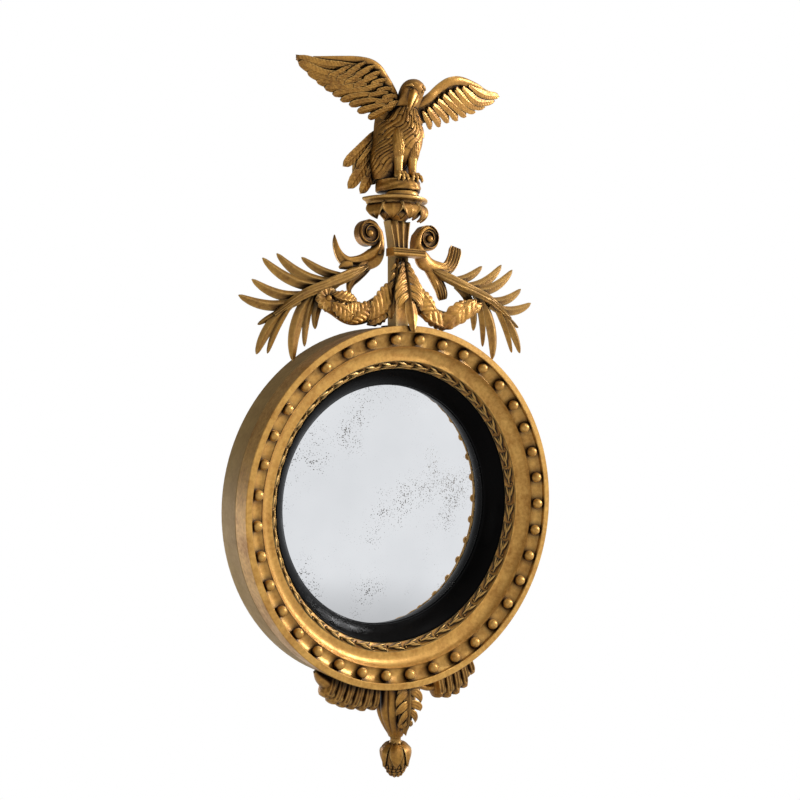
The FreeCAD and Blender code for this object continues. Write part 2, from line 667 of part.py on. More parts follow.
def volute():
    """A stalk that rises beside the stem and rolls outward over its own eye, with a raised fillet."""
    stalk = EYE[0] - SCROLL - size("stalk_step")
    rise = EYE[1] - COLLAR
    stem_side = [(stalk, COLLAR), (stalk, COLLAR + rise * 0.4), (stalk + 1, COLLAR + rise * 0.8),
                 (EYE[0] - SCROLL, EYE[1] + SCROLL * 0.4)]
    edge = [(x, TOP + height) for x, height in stem_side]
    edge += [spiral(0, SCROLL), (EYE[0], TOP + EYE[1]), spiral(11 / 16, SCROLL),
             (stalk + size("stalk_width"), TOP + COLLAR)]
    roll = [spiral(i / 16, SCROLL) for i in range(16)]
    depths = size("volute_back"), size("volute_front")
    block = slab(edge, *depths).fuse(slab(roll, *depths)).removeSplitter()
    turns = 28
    fillet_out = [spiral(1.9 * i / turns, SCROLL - 14 * i / turns) for i in range(turns + 1)]
    fillet_in = [spiral(1.9 * i / turns, SCROLL - 3 - 13 * i / turns) for i in range(turns + 1)]
    fillet = slab(fillet_out + fillet_in[::-1], size("volute_front") - 1,
                  size("volute_front") + size("volute_relief"))
    button = stacked([(4.5, 0), (4.5, 3), (2.5, 4.5)], 10)
    button.Placement = Placement(Vector(EYE[0], -size("volute_front") + 1, TOP + EYE[1]), FORWARD)
    return fused([block, fillet, button])


right_volute = volute()

# The acanthus grows outward from the foot of the scroll: an upper leaf with a horn and a drooping lower one.
LEAF_BACK = 38
upper_leaf = [(55, 128), (61, 116), (77, 105), (98, 105), (112, 118), (121, 146), (127, 131), (130, 113),
              (114, 89), (87, 98), (57, 114)]
lower_leaf = [(57, 114), (87, 98), (114, 89), (100, 68), (87, 47), (86, 60), (60, 84), (39, 101), (31, 112),
              (31, 114)]


def crest_outline(outline):
    return [(x, TOP + height) for x, height in outline]


acanthus_upper = domed(crest_outline(upper_leaf), LEAF_BACK, 52, 58, 0.6)
acanthus_lower = domed(crest_outline(lower_leaf), LEAF_BACK, 51, 56, 0.6)
right_acanthus = fused([acanthus_upper, acanthus_lower])

# Each leaflet: base, tip, sag to the right as a share of its length, and half width.
SPRAY = [
    ((123, 79), (181, 109), 0.09, 6), ((148, 66), (225, 113), 0.125, 7), ((164, 60), (250, 105), 0.125, 7),
    ((192, 47), (269, 71), 0.135, 7), ((213, 34), (292, 46), 0.12, 7), ((232, 22), (261, 1), 0, 4),
    ((228, 24), (264, -45), -0.08, 7.5), ((228, 24), (245, -44), -0.05, 4.5), ((181, 48), (200, -56), -0.10, 9.5),
    ((184, 46), (179, -33), -0.05, 5), ((141, 59), (159, -5), -0.15, 7),
]
MIDRIB = [(84, 88, 9), (110, 78, 9), (145, 65, 8.5), (188, 48, 7.5), (214, 32, 6.5), (236, 16, 5)]


def spray():
    """A flat spray of long leaves off a bowed midrib."""
    rib = horn([(place(x, 54 + 5 * math.sin(math.pi * i / (len(MIDRIB) - 1)), height), half, 7, 7)
                for i, (x, height, half) in enumerate(MIDRIB)])
    leaves = [leaflet(place(base[0], 52, base[1]), place(tip[0], 43, tip[1]), sag, half)
              for base, tip, sag, half in SPRAY]
    return fused([rib] + leaves)


spray_pattern = spray()
DROOP_LEFT = -1.3
DROOP_RIGHT = -1.4


def turned_about_post(shape, angle):
    """A side piece set a little high or low, as it is on the object."""
    copy = shape.copy()
    copy.rotate(place(0, 0, COLLAR), Vector(0, 1, 0), angle)
    return copy


side_pieces = {}
for name, shapes in (("right", lambda shape: shape), ("left", mirrored)):
    scroll = shapes(right_volute)
    outer = shapes(right_acanthus).cut(scroll)
    leafy = turned_about_post(shapes(spray_pattern), DROOP_LEFT if name == "left" else DROOP_RIGHT)
    side_pieces[name + "_volute"] = scroll
    side_pieces[name + "_acanthus"] = outer
    side_pieces[name + "_spray"] = leafy.cut([outer, DRUM])
for label, shape in side_pieces.items():
    carved(label, shape)


# ---------------------------------------------------------------- leaves and garlands above the drum
CENTRE_LEAF = [(64, 113, 12), (72, 82, 20), (81, 50, 27), (84, 38, 28), (87, 22, 24), (90, 8, 13), (92, -11, 1.5)]
centre_leaf = horn([(place(0, depth, height), half, 5, 2.5) for depth, height, half in CENTRE_LEAF],
                   Vector(1, 0, 0))
carved("centre_leaf", centre_leaf)

BUD_LEAF = [(-15, 67, 112, 4), (-18, 67, 95, 7), (-24, 69, 50, 8.5), (-28, 70, 20, 9), (-29, 70, 12, 4)]
bud_leaf = horn([(place(x, depth, height), half, 5, 3) for x, depth, height, half in BUD_LEAF],
                Vector(1, 0, 0)).cut(centre_leaf)
carved("bud_leaf", bud_leaf)

# Each garland: stations of distance from the post's middle, height and thickness of the swag.
GARLAND = [(12.8, 45, 30), (45, 35, 44), (75, 16, 38), (98, 12, 38), (125, 28, 42), (150, 38, 34), (166, 45, 8)]
GARLAND_BACK = 36
GARLAND_MIDDLE = 53
GARLAND_FRONT = 70


def garland():
    """A swag of leaves and fruit that runs out from the post and follows the drum."""
    sections = []
    for x, height, thick in GARLAND:
        sections.append([place(x, depth, height + thick * share) for depth, share in (
            (GARLAND_BACK, -0.25), (GARLAND_MIDDLE, -0.5), (GARLAND_FRONT, -0.3),
            (GARLAND_FRONT, 0.3), (GARLAND_MIDDLE, 0.5), (GARLAND_BACK, 0.25))])
    return loft(sections)


right_garland = garland()
for name in ("left", "right"):
    neighbours = [side_pieces[name + "_spray"], side_pieces[name + "_acanthus"], centre_leaf, bud_leaf, DRUM]
    swag = right_garland if name == "right" else mirrored(right_garland)
    carved(name + "_garland", swag.cut(neighbours))

# ---------------------------------------------------------------- eagle
def oval(height, middle, half, depth, back=size("body_back"), sides=8):
    """A half-round level of the carving, flat behind."""
    return [place(middle + half * math.cos(math.pi * i / sides), back + depth * math.sin(math.pi * i / sides),
                  height) for i in range(sides + 1)]


rock = loft([oval(ROCK_FOOT, 4, 32, 50), oval(ROCK_FOOT + 9, 4, 38, 56), oval(ROCK_FOOT + 17, 3, 35, 55),
             oval(ROCK_TOP, 2, 32, 52)])

# Levels of the body: height, middle, half width and depth, from the rock up to the neck.
BODY = [(ROCK_TOP, -8, 30, 24), (265, -6, 38, 33), (285, -4, 41, 47), (304, 2, 43, 56), (321, 5, 44, 59),
        (342, 4, 41, 58), (356, 2, 35, 57), (364, 0, 28, 56)]
body = loft([oval(*level) for level in BODY])

HEAD = size("head_radius")
HEAD_MIDDLE = size("head_height")
HEAD_SPOT = place(0, 92, HEAD_MIDDLE)
NECK = BODY[-1][0]


def ring_at(centre, half, reach, sides=10):
    return [centre + Vector(half * math.cos(2 * math.pi * i / sides), -reach * math.sin(2 * math.pi * i / sides), 0)
            for i in range(sides)]


neck = loft([ring_at(place(0, 62, NECK), 26, 23), ring_at(place(0, 76, (NECK + HEAD_MIDDLE) / 2), 21, 24),
             ring_at(place(0, 88, HEAD_MIDDLE), 20, 20)])
crown = stacked([(HEAD * math.cos(lift), HEAD * math.sin(lift))
                 for lift in [math.radians(angle) for angle in (-70, -42, -14, 14, 42, 66, 84)]], 12, HEAD_SPOT)
beak = horn([(place(x, depth, HEAD_MIDDLE - fall), half, ridge, belly) for x, depth, fall, half, ridge, belly in (
    (-8, 106, 4, 9, 7, 8), (-14, 113, 14, 7, 4, 7), (-19, 114, 27, 4, 2.5, 5), (-20, 111, 38, 1, 1, 1.5))])
head = fused([neck, crown, beak]).cut(body)

# Wing stations from shoulder to tip: leading edge, then trailing edge, each as distance out, depth, height.
LEFT_WING = [
    ((20, 76, 374), (34, 46, 330)), ((33, 86, 385), (51, 51, 338)), ((43, 89, 397), (70, 51, 336)),
    ((52, 91, 406), (72, 52, 342)), ((60, 93, 412), (82, 52, 343)), ((68, 96, 418), (85, 52, 352)),
    ((77, 98, 422), (96, 52, 354)), ((88, 96, 424), (102, 52, 360)), ((106, 92, 425), (118, 53, 360)),
    ((120, 88, 423), (129, 53, 368)), ((137, 85, 421), (134, 53, 381)), ((158, 78, 420), (160, 56, 380)),
    ((172, 73, 418), (165, 57, 390)), ((188, 66, 418), (191, 60, 401)), ((202, 61, 421), (203, 61, 411)),
]
RIGHT_WING = [
    ((20, 76, 374), (34, 46, 330)), ((33, 86, 385), (51, 51, 341)), ((52, 91, 406), (63, 51, 340)),
    ((68, 96, 418), (79, 52, 347)), ((85, 97, 424), (92, 52, 361)), ((106, 92, 425), (111, 52, 369)),
    ((137, 85, 421), (133, 53, 380)), ((160, 77, 419), (158, 56, 391)), ((184, 69, 418), (184, 59, 406)),
    ((202, 61, 421), (203, 61, 411)),
]
WING = size("wing_thickness")


def wing(stations, side):
    """A spread wing: thick along the shoulder, thinner at the feather ends."""
    sections = []
    for lead, trail in stations:
        front = place(side * lead[0], lead[1], lead[2])
        end = place(side * trail[0], trail[1], trail[2])
        ridge = front + (end - front) * 0.25
        sections.append([front + Vector(0, -WING * 0.35, 0), ridge + Vector(0, -WING * 0.6, 0),
                         end + Vector(0, -WING * 0.25, 0), end + Vector(0, WING * 0.25, 0),
                         front + Vector(0, WING * 0.5, 0)])
    return loft(sections)


left_wing = wing(LEFT_WING, -1).cut([body, head])
right_wing = wing(RIGHT_WING, 1).cut([body, head])

# The tail is a flat fan behind the body, spread to the viewer's left.
TAIL = [(-8, 345), (-37, 322), (-93, 262), (-93, 259), (-85, 225), (-73, 232), (-60, 220), (-48, 239),
        (-30, 262), (-5, 285)]
tail = slab(crest_outline(TAIL), size("body_back") - 1 - WING, size("body_back") - SEAT)


def leg(x):
    """A leg with three toes that grip the front edge of the rock."""
    shank = loft([ring_at(place(x, 69, ROCK_TOP + 38), 8, 8, 8), ring_at(place(x, 70, ROCK_TOP + 12), 5, 5, 8),
                  ring_at(place(x, 71, ROCK_TOP), 6, 6, 8)])
    toes = [horn([(place(x, 72, ROCK_TOP + 6), 3.5, 4, 5), (place(x + lean * 0.7, 80, ROCK_TOP + 3), 4, 4, 4),
                  (place(x + lean, 85, ROCK_TOP - 9), 1.5, 1.5, 2)]) for lean in (-9, 0.1, 9)]
    return fused([shank] + toes)


legs = Part.makeCompound([leg(side * 13.7).cut([rock, body]) for side in (-1, 1)])

# A dowel pins the eagle, its rock and the turned capital together.
DOWEL_FOOT = CUP_TOP - size("dowel_sink")
DOWEL_TOP = ROCK_TOP + size("dowel_sink")


def dowel(radius, foot, top, centre):
    return stacked([(radius, foot), (radius, top)], 10, centre)


eagle_dowel = dowel(size("dowel_radius"), DOWEL_FOOT, DOWEL_TOP, place(0, size("dowel_depth"), 0))
dowel_hole = dowel(size("dowel_radius") + size("hole_gap"), DOWEL_FOOT - 1, DOWEL_TOP + 1,
                   place(0, size("dowel_depth"), 0))
carved("leaf_cup", cup.cut(dowel_hole))
carved("crest_abacus", abacus.cut(dowel_hole))
carved("eagle_plinth", plinth.cut(dowel_hole))
carved("eagle_rock", rock.cut(dowel_hole))
carved("eagle_body", body.cut(dowel_hole))
carved("eagle_head", head)
carved("eagle_left_wing", left_wing)
carved("eagle_right_wing", right_wing)
carved("eagle_tail", tail)
carved("eagle_legs", legs)
carved("eagle_dowel", eagle_dowel)

# ---------------------------------------------------------------- apron and pendant
def under(x, depth, drop):
    """A spot of the apron: drop is counted down from the lowest point of the drum."""
    return Vector(x, -depth, -TOP - drop)


def hung(outline, sides):
    """Turned work under the drum, from an outline of radius against drop."""
    return stacked([(radius, -drop) for radius, drop in outline], sides, under(0, size("apron_depth"), 0))


BELL = size("bell_radius")
NECK_TOP = size("bell_drop")
BUD_TOP = NECK_TOP + size("neck_length")
BERRY_TOP = BUD_TOP + size("bud_length")
cup_below = hung([(BELL - 2, -8), (BELL, 10), (BELL, 40), (BELL * 0.8, 64), (size("neck_radius") + 1.5, NECK_TOP)],
                 20).cut(DRUM)
pin_place = under(0, size("apron_depth"), 0)
half_pin = size("apron_dowel_length") / 2
apron_dowel = dowel(size("apron_dowel_radius"), -half_pin, half_pin, pin_place)
apron_dowel_hole = dowel(size("apron_dowel_radius") + size("hole_gap"), -half_pin - 1, half_pin + 1, pin_place)
carved("apron_cup", cup_below.cut(apron_dowel_hole))
carved("apron_dowel", apron_dowel)
NECK_WIDE = size("neck_radius")
carved("pendant_neck", hung([(NECK_WIDE, NECK_TOP), (NECK_WIDE - 2, NECK_TOP + 5), (NECK_WIDE, BUD_TOP)], 16))
BUD = size("bud_radius")
carved("pendant_bud", hung([(NECK_WIDE, BUD_TOP), (BUD * 0.85, BUD_TOP + 7), (BUD, BUD_TOP + 20),
                            (BUD * 0.95, BUD_TOP + 32), (BUD * 0.7, BERRY_TOP)], 16))
BERRY = size("berry_radius")
carved("pendant_berries", hung([(BERRY, BERRY_TOP), (BERRY, BERRY_TOP + 5), (BERRY * 0.7, BERRY_TOP + 11),
                                (BERRY * 0.25, BERRY_TOP + size("berry_length"))], 12))

APRON_LEAF = [(78, -4, 21), (79, 20, 24), (78, 45, 18), (72, 66, 10), (66, 80, 2)]
apron_leaf = horn([(under(0, depth, drop), half, 6, 5) for depth, drop, half in APRON_LEAF],
                  Vector(1, 0, 0)).cut([cup_below, DRUM])
carved("apron_leaf", apron_leaf)

# Gadroons: fans of fat lobes that hang from the drum; each lobe from a spot under the rim to its bottom.
LEFT_LOBES = [(-126, -140, 4), (-111, -128, 16), (-94, -111, 24), (-77, -94, 30), (-59, -73, 36), (-43, -52, 38)]
RIGHT_LOBES = [(78, 86, 38), (95, 104, 41), (111, 122, 38), (125, 140, 29), (139, 156, 7)]
LOBE_HALF = 9.5
LOBE_DEPTH = 20


def gadroon(lobes, stem):
    """Lobes fused side by side, with the curled or straight stem they grow from."""
    solids = [horn([(under(x, size("apron_depth"), drop), half, half * 1.6, half * 1.6)
                    for x, drop, half in stem])]
    for start, end, drop in lobes:
        rim = TOP - math.sqrt(TOP ** 2 - start ** 2)
        head_spot = under(start, size("apron_depth"), -rim - 4)
        bottom = under(end, size("apron_depth"), drop)
        run = bottom - head_spot
        solids.append(horn([(head_spot, LOBE_HALF, LOBE_DEPTH * 0.8, LOBE_DEPTH * 0.8),
                            (head_spot + run * 0.6, LOBE_HALF * 1.05, LOBE_DEPTH, LOBE_DEPTH),
                            (head_spot + run * 0.88, LOBE_HALF * 0.75, LOBE_DEPTH * 0.8, LOBE_DEPTH * 0.8),
                            (bottom, LOBE_HALF * 0.25, LOBE_DEPTH * 0.4, LOBE_DEPTH * 0.4)]))
    return fused(solids).cut([DRUM, cup_below, apron_leaf])


carved("left_gadroon", gadroon(LEFT_LOBES, [(-128, -6, 7), (-138, -15, 6.5), (-147, -26, 5), (-156, -38, 2)]))
carved("right_gadroon", gadroon(RIGHT_LOBES, [(38, 12, 5), (58, 16, 6), (82, 22, 8)]))

# ---------------------------------------------------------------- carcass hoop
pierced("rear_ring", rear_blank, board_holes + bracket_holes + pockets + hanger_holes + [apron_dowel_hole])


# ---------------------------------------------------------------- checks and files
doc.recompute()
for thing in doc.Objects:
    if "Invalid" in thing.State or "Error" in thing.State:
        raise RuntimeError(f"{thing.Label} failed: {thing.State}")
os.makedirs("parts", exist_ok=True)
for node in parts:
    shape = node.Shape
    if shape.isNull() or not shape.isValid():
        raise RuntimeError(f"{node.Label} has no valid solid")
    shape.exportStep(f"parts/{node.Label}.step")
    print(f"{node.Label}: {len(shape.Solids)} solids, {shape.Volume / 1000:.1f} cm3")
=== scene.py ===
from math import asin, atan2, copysign, cos, pi, radians, sin, sqrt, tan
import bpy
import numpy as np
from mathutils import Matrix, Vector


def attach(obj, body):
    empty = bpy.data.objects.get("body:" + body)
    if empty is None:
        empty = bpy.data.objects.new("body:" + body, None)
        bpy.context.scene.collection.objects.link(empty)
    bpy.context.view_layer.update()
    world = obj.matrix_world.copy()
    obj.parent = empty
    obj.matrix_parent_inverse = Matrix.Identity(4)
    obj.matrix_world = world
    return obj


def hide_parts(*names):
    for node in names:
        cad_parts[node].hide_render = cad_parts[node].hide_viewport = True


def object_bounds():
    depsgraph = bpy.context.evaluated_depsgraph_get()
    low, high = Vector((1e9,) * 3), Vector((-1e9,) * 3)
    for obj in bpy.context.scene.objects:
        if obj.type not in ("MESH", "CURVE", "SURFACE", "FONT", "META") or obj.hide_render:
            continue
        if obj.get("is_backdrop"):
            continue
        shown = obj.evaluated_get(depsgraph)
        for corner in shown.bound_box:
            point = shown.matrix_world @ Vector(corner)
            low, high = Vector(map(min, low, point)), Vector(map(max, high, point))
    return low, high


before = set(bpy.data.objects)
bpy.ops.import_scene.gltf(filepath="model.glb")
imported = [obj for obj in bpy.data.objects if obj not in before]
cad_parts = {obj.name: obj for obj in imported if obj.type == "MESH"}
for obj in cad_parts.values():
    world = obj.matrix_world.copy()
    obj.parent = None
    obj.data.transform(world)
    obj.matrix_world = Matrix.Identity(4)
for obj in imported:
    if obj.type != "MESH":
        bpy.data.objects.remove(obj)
cad_low, cad_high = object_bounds()
MM = 0.001

# ---- studio: floor, lamps and camera
# A plain white sweep lies well under the pendant.  A small strong lamp on the viewer's right models the gold;
# weak ones fill from above, from the left and from behind, and the white room does the rest.
scene = bpy.context.scene
scene.view_settings.view_transform = "Standard"


def colour(sheet_hex):
    """An sRGB hex value as linear red, green, blue and alpha."""
    parts = [int(sheet_hex[i:i + 2], 16) / 255 for i in (1, 3, 5)]
    return [p / 12.92 if p <= 0.04045 else ((p + 0.055) / 1.055) ** 2.4 for p in parts] + [1.0]


def add_node(tree, kind, links=None, **settings):
    """A shader node with its settings; a link is a value, a hex colour, an output or a node's first output."""
    node = tree.nodes.new("ShaderNode" + kind)
    for key, value in settings.items():
        setattr(node, key, value)
    for key, value in (links or {}).items():
        if isinstance(value, bpy.types.Node):
            value = value.outputs[0]
        elif isinstance(value, str):
            value = colour(value)
        if isinstance(value, bpy.types.NodeSocket):
            tree.links.new(value, node.inputs[key])
        else:
            node.inputs[key].default_value = value
    return node


def remap(tree, value, start, end, to_start=0.0, to_end=1.0, **settings):
    """Values between start and end, spread over another range."""
    return add_node(tree, "MapRange", {"Value": value, "From Min": start, "From Max": end, "To Min": to_start,
                                       "To Max": to_end}, **settings)


def cleared(owner):
    """The empty node tree of a world or a material."""
    owner.use_nodes = True
    owner.node_tree.nodes.clear()
    return owner.node_tree


def placed(name, data):
    """An object of the scene that shows some data."""
    made = bpy.data.objects.new(name, data)
    scene.collection.objects.link(made)
    return made


def glow(tree, kind, tint, strength):
    """A background or an emission of one colour."""
    return add_node(tree, kind, {"Color": tint, "Strength": strength})


def by_ray(tree, kind, other, own):
    """One shader for a kind of ray, such as Is Camera Ray, and another for all other rays."""
    return add_node(tree, "MixShader", {0: add_node(tree, "LightPath").outputs[kind], 1: other, 2: own})


world = bpy.data.worlds.new("white_room")
scene.world = world
room = cleared(world)
# The gold reflects a room that is bright in front on the right and dim behind and on the left.
BRIGHT_SIDE = (0.6, -0.79, 0.08)
toward = add_node(room, "VectorMath", {0: add_node(room, "TexCoord").outputs["Generated"], 1: BRIGHT_SIDE},
                  operation="DOT_PRODUCT")
bright = remap(room, toward.outputs["Value"], -0.35, 0.7, 0.16, 1.05, interpolation_type="SMOOTHSTEP")
unseen = by_ray(room, "Is Glossy Ray", glow(room, "Background", "#F4F5F6", 0.26),
                glow(room, "Background", "#F6F7F8", bright))
add_node(room, "OutputWorld", {"Surface": by_ray(room, "Is Camera Ray", unseen,
                                                 glow(room, "Background", "#FFFFFF", 1.0))})

FLOOR_HALF, FLOOR_DROP = 6.0, 0.12
floor_z = cad_low.z - FLOOR_DROP
floor_mesh = bpy.data.meshes.new("floor")
corners = [(x * FLOOR_HALF, y * FLOOR_HALF, floor_z) for x, y in ((-1, -1), (1, -1), (1, 1), (-1, 1))]
floor_mesh.from_pydata(corners, [], [(0, 1, 2, 3)])
floor = placed("floor", floor_mesh)
paper = bpy.data.materials.new("white_paper_floor")
sheet = cleared(paper)
# In a polished surface the paper is a glowing sheet, not a lit one: painted shade dims the glow below the
# pendant, and farther off it glows as white as the room.
paper_place = add_node(sheet, "TexCoord").outputs["Object"]
from_middle = add_node(sheet, "VectorMath", {0: paper_place}, operation="LENGTH")
glow_dimmed_as_shade = remap(sheet, from_middle.outputs["Value"], 0.2, 1.3, 0.3, 1.05, interpolation_type="SMOOTHSTEP")
paper_coat = add_node(sheet, "BsdfDiffuse", {"Color": "#E4E4E4"})
paper_seen = by_ray(sheet, "Is Camera Ray", paper_coat, glow(sheet, "Emission", "#FFFFFF", 1.0))
add_node(sheet, "OutputMaterial", {"Surface": by_ray(sheet, "Is Glossy Ray", paper_seen,
                                                     glow(sheet, "Emission", "#F6F7F8", glow_dimmed_as_shade))})
floor_mesh.materials.append(paper)
floor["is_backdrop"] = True

# Each lamp: its spot, where it aims, its width and its power in watts.
LAMPS = [("key_box", (2.45, -1.2, 0.95), (0, 0, 0.1), 0.5, 66),
         ("top_box", (0.9, -1.7, 2.6), (0, 0, 0.1), 0.9, 7),
         ("left_box", (-2.4, -1.4, 0.5), (0, 0, 0), 1.2, 4),
         ("back_box", (-0.4, 2.4, -0.4), (0, 0, 0.1), 1.4, 15)]
for name, spot, aim, width, power in LAMPS:
    lamp = bpy.data.lights.new(name, "AREA")
    lamp.shape = "DISK"
    lamp.size = width
    lamp.energy = power
    box = placed(name, lamp)
    box.location = spot
    box.rotation_euler = (box.location - Vector(aim)).to_track_quat("Z", "Y").to_euler()

# The camera was solved from the ellipses that the photograph shows of the drum's rims.
CAMERA_SPOT = (-1.01491, -1.59158, 0.18760)
CAMERA_LOOK = (0.55081, 0.83461, -0.00572)
CAMERA_ANGLE = radians(40.0)
camera_data = bpy.data.cameras.new("photo_camera")
camera_data.sensor_width = 36
camera_data.lens = camera_data.sensor_width / 2 / tan(CAMERA_ANGLE / 2)
camera = placed("photo_camera", camera_data)
camera.location = CAMERA_SPOT
camera.rotation_mode = "QUATERNION"
camera.rotation_quaternion = Vector(CAMERA_LOOK).to_track_quat("-Z", "Y")
scene.camera = camera

# ---- carcass hoop
# The hoop is built up of pine segments, turned true, coated with gesso on its visible side and toned with
# yellow ochre and thin gold; part of its dark brown is painted shade for the side turned from the light.  Its
# back is bare old pine.


def new_material(name):
    """An empty material with its node tree and the place on the object."""
    made = bpy.data.materials.new(name)
    tree = cleared(made)
    return made, tree, add_node(tree, "TexCoord").outputs["Object"]


def noise(tree, where, size, detail, rough=0.5, **more):
    """A cloudy pattern whose clouds have a size in millimetres."""
    return add_node(tree, "TexNoise", {"Vector": where, "Scale": 1 / (size * MM), "Detail": detail,
                                       "Roughness": rough, **more})


def mixed(tree, factor, one, two):
    """The first colour where the factor is 0 and the second where it is 1."""
    return add_node(tree, "Mix", {"Factor": factor, "A": one, "B": two}, data_type="RGBA").outputs[2]


def ramp(tree, factor, first, second, start=0.0, end=1.0):
    """A colour ramp between two hex colours."""
    made = add_node(tree, "ValToRGB", {"Fac": factor})
    for stop, place, tint in zip(made.color_ramp.elements, (start, end), (first, second)):
        stop.position = place
        stop.color = colour(tint)
    return made


def bumped(tree, height, strength, deep, **more):
    """Relief that is some millimetres deep."""
    return add_node(tree, "Bump", {"Height": height, "Strength": strength, "Distance": deep * MM, **more})


def coat(tree, **links):
    """The material's one coat, its settings named as on the shader with _ for a space."""
    links = {key.replace("_", " "): value for key, value in links.items()}
    add_node(tree, "OutputMaterial", {"Surface": add_node(tree, "BsdfPrincipled", links)})


def gilding(name, bright, middle, deep, metal, rough, toning, shade=16):
    """Aged water gilding: beaten leaf on red bole, burnished on the heights and browned in the hollows, partly
    by toning and partly by painted shade.

    toning is the strength of the brown, which is partly real toning and partly painted shade, and shade how far
    from a corner it reaches, in millimetres.
    """
    made, tree, where = new_material(name)
    # Clouds of toning, finer mottling and grains.
    clouds = noise(tree, where, 30, 4.0, 0.55)
    mottle = noise(tree, where, 6, 5.0, 0.6)
    grain = noise(tree, where, 0.7, 3.0)
    blend = add_node(tree, "Math", {0: clouds, 1: mottle}, operation="ADD")
    leaf = ramp(tree, remap(tree, blend, 0.7, 1.3), middle, bright)
    # Painted shade: an ambient-occlusion mask, mottled by the spots, darkens the gold towards the deep colour
    # in hollows and corners. Only part of this is the gilder's real toning.
    hollow = add_node(tree, "AmbientOcclusion", {"Distance": shade * MM}, samples=8)
    painted_shade = remap(tree, hollow.outputs["AO"], 0.97, 0.42, 0.0, toning)
    spots = remap(tree, mottle, 0.3, 0.7, 0.75, 1.2)
    mottled_painted_shade = add_node(tree, "Math", {0: painted_shade, 1: spots}, operation="MULTIPLY", use_clamp=True)
    toned_and_shaded = mixed(tree, mottled_painted_shade, leaf, deep)
    # Red bole shows in rare flecks where the leaf is rubbed through, and sharp edges are brighter.
    skin = add_node(tree, "NewGeometry")
    flecks = remap(tree, noise(tree, where, 3, 6.0, 0.75), 0.62, 0.74, 0.0, 0.5)
    edges = remap(tree, skin.outputs["Pointiness"], 0.52, 0.62, 0.0, 0.45)
    gold = mixed(tree, edges, mixed(tree, flecks, toned_and_shaded, "#7A4020"), "#E8C67C")
    # Flat backs were never gilded: there the pine is bare and darkened by age.
    facing = add_node(tree, "SeparateXYZ", {0: skin.outputs["True Normal"]})
    bare = remap(tree, facing.outputs["Y"], 0.93, 0.98)
    pine = mixed(tree, clouds, "#5E4225", "#8C683C")
    fine = bumped(tree, grain, 0.35, 0.3)
    coat(tree, Base_Color=mixed(tree, bare, gold, pine), Metallic=remap(tree, bare, 0.0, 1.0, metal, 0.0),
         Roughness=remap(tree, blend, 0.7, 1.3, rough + 0.12, rough - 0.06),
         Normal=bumped(tree, mottle, 0.35, 0.8, Normal=fine))
    return made


def dress(node, material):
    """A new finish on a piece of the frame, whose shape stays as it is."""
    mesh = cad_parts[node].data
    mesh.materials.clear()
    mesh.materials.append(material)


# These colours are set darker than the front's gilding, partly as painted shade on the side.
side_gilding = gilding("ochre_toned_and_shaded_gilding", "#9C7029", "#734A18", "#2E1A07", 0.25, 0.5, 1.0)
dress("rear_ring", side_gilding)

# ---- front moulding
# One ring turned of pine, gilt and burnished: a flat rim, a hollow that holds the balls, a fat bead and a
# thin fillet.
RING = 300


def piece(node, shape, material, sharp=40):
    """A mesh in millimetres of the object's frame, made the piece that stands for a CAD node."""
    verts, faces = shape
    mesh = bpy.data.meshes.new(node + "_piece")
    mesh.from_pydata((np.asarray(verts) * MM).tolist(), [], faces)
    mesh.validate()
    mesh.shade_smooth()
    mesh.set_sharp_from_angle(angle=radians(sharp))
    mesh.materials.append(material)
    made = placed(node + "_piece", mesh)
    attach(made, "frame")
    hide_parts(node)


def circle(count, start=0.0):
    """The angles of a full turn in equal steps."""
    return [2 * pi * (k + start) / count for k in range(count)]


def skin_rows(rows, ends="capped"):
    """Quads between rows of points, whose two ends are capped, open or joined to each other."""
    count, around = len(rows), len(rows[0])
    faces = []
    for r in range(count if ends == "joined" else count - 1):
        s = (r + 1) % count
        faces += [(r * around + k, r * around + (k + 1) % around, s * around + (k + 1) % around, s * around + k)
                  for k in range(around)]
    if ends == "capped":
        faces += [tuple(range(around))[::-1], tuple((count - 1) * around + k for k in range(around))]
    return [tuple(point) for row in rows for point in row], faces


def lathe(outline, steps):
    """A closed ring turned about the mirror's axis, from an outline of (radius, depth)."""
    return skin_rows([[(radius * cos(a), -depth, radius * sin(a)) for radius, depth in outline]
                      for a in circle(steps)], "joined")


def arc(start, end, bulge, count):
    """Points of an arc between two spots, both left in, that bulges to the left of its run by a height."""
    a, b = np.array(start, float), np.array(end, float)
    chord = b - a
    normal = np.array([-chord[1], chord[0]]) / np.linalg.norm(chord)
    run = np.linalg.norm(chord) / 2
    radius = (run ** 2 + bulge ** 2) / (2 * abs(bulge))
    centre = (a + b) / 2 + normal * (bulge - copysign(radius, bulge))
    one, two = [atan2(*(end - centre)[::-1]) for end in (a, b)]
    sweep = (two - one + pi) % (2 * pi) - pi
    return [tuple(centre + radius * np.array([cos(one + sweep * i / count), sin(one + sweep * i / count)]))
            for i in range(count + 1)]


# This gilding's occlusion mask paints shade in the rim's hollow round each ball.
rim_gilding = gilding("burnished_gilding", "#E6B25A", "#B07A30", "#341B05", 0.45, 0.35, 1.2, shade=11)
ball_hollow = arc((289, 81), (266.5, 74.5), 4.0, 10)
bead = arc((266.5, 76), (246, 62), 5.2, 14)
moulding_line = [
    (298.8, 50), (300, 51.2), (300, 87), (299, 88), (290, 88), (289, 87), *ball_hollow, (266.5, 76),
    *bead[1:], (243, 62), (243, 56.5), (230.3, 47), (230.3, 40), (261.8, 40), (261.8, 50)]
piece("front_moulding", lathe(moulding_line, 360), rim_gilding, sharp=28)

# ---- applied balls
# Thirty-seven balls turned of pine, gilt and burnished.  Each is pinned and glued on a small flat to the floor
# of the hollow.
BALLS, BALL_RADIUS, BALL_CIRCLE, BALL_DEPTH, BALL_TURN = 37, 8.9, 278.2, 80.5, 2.0


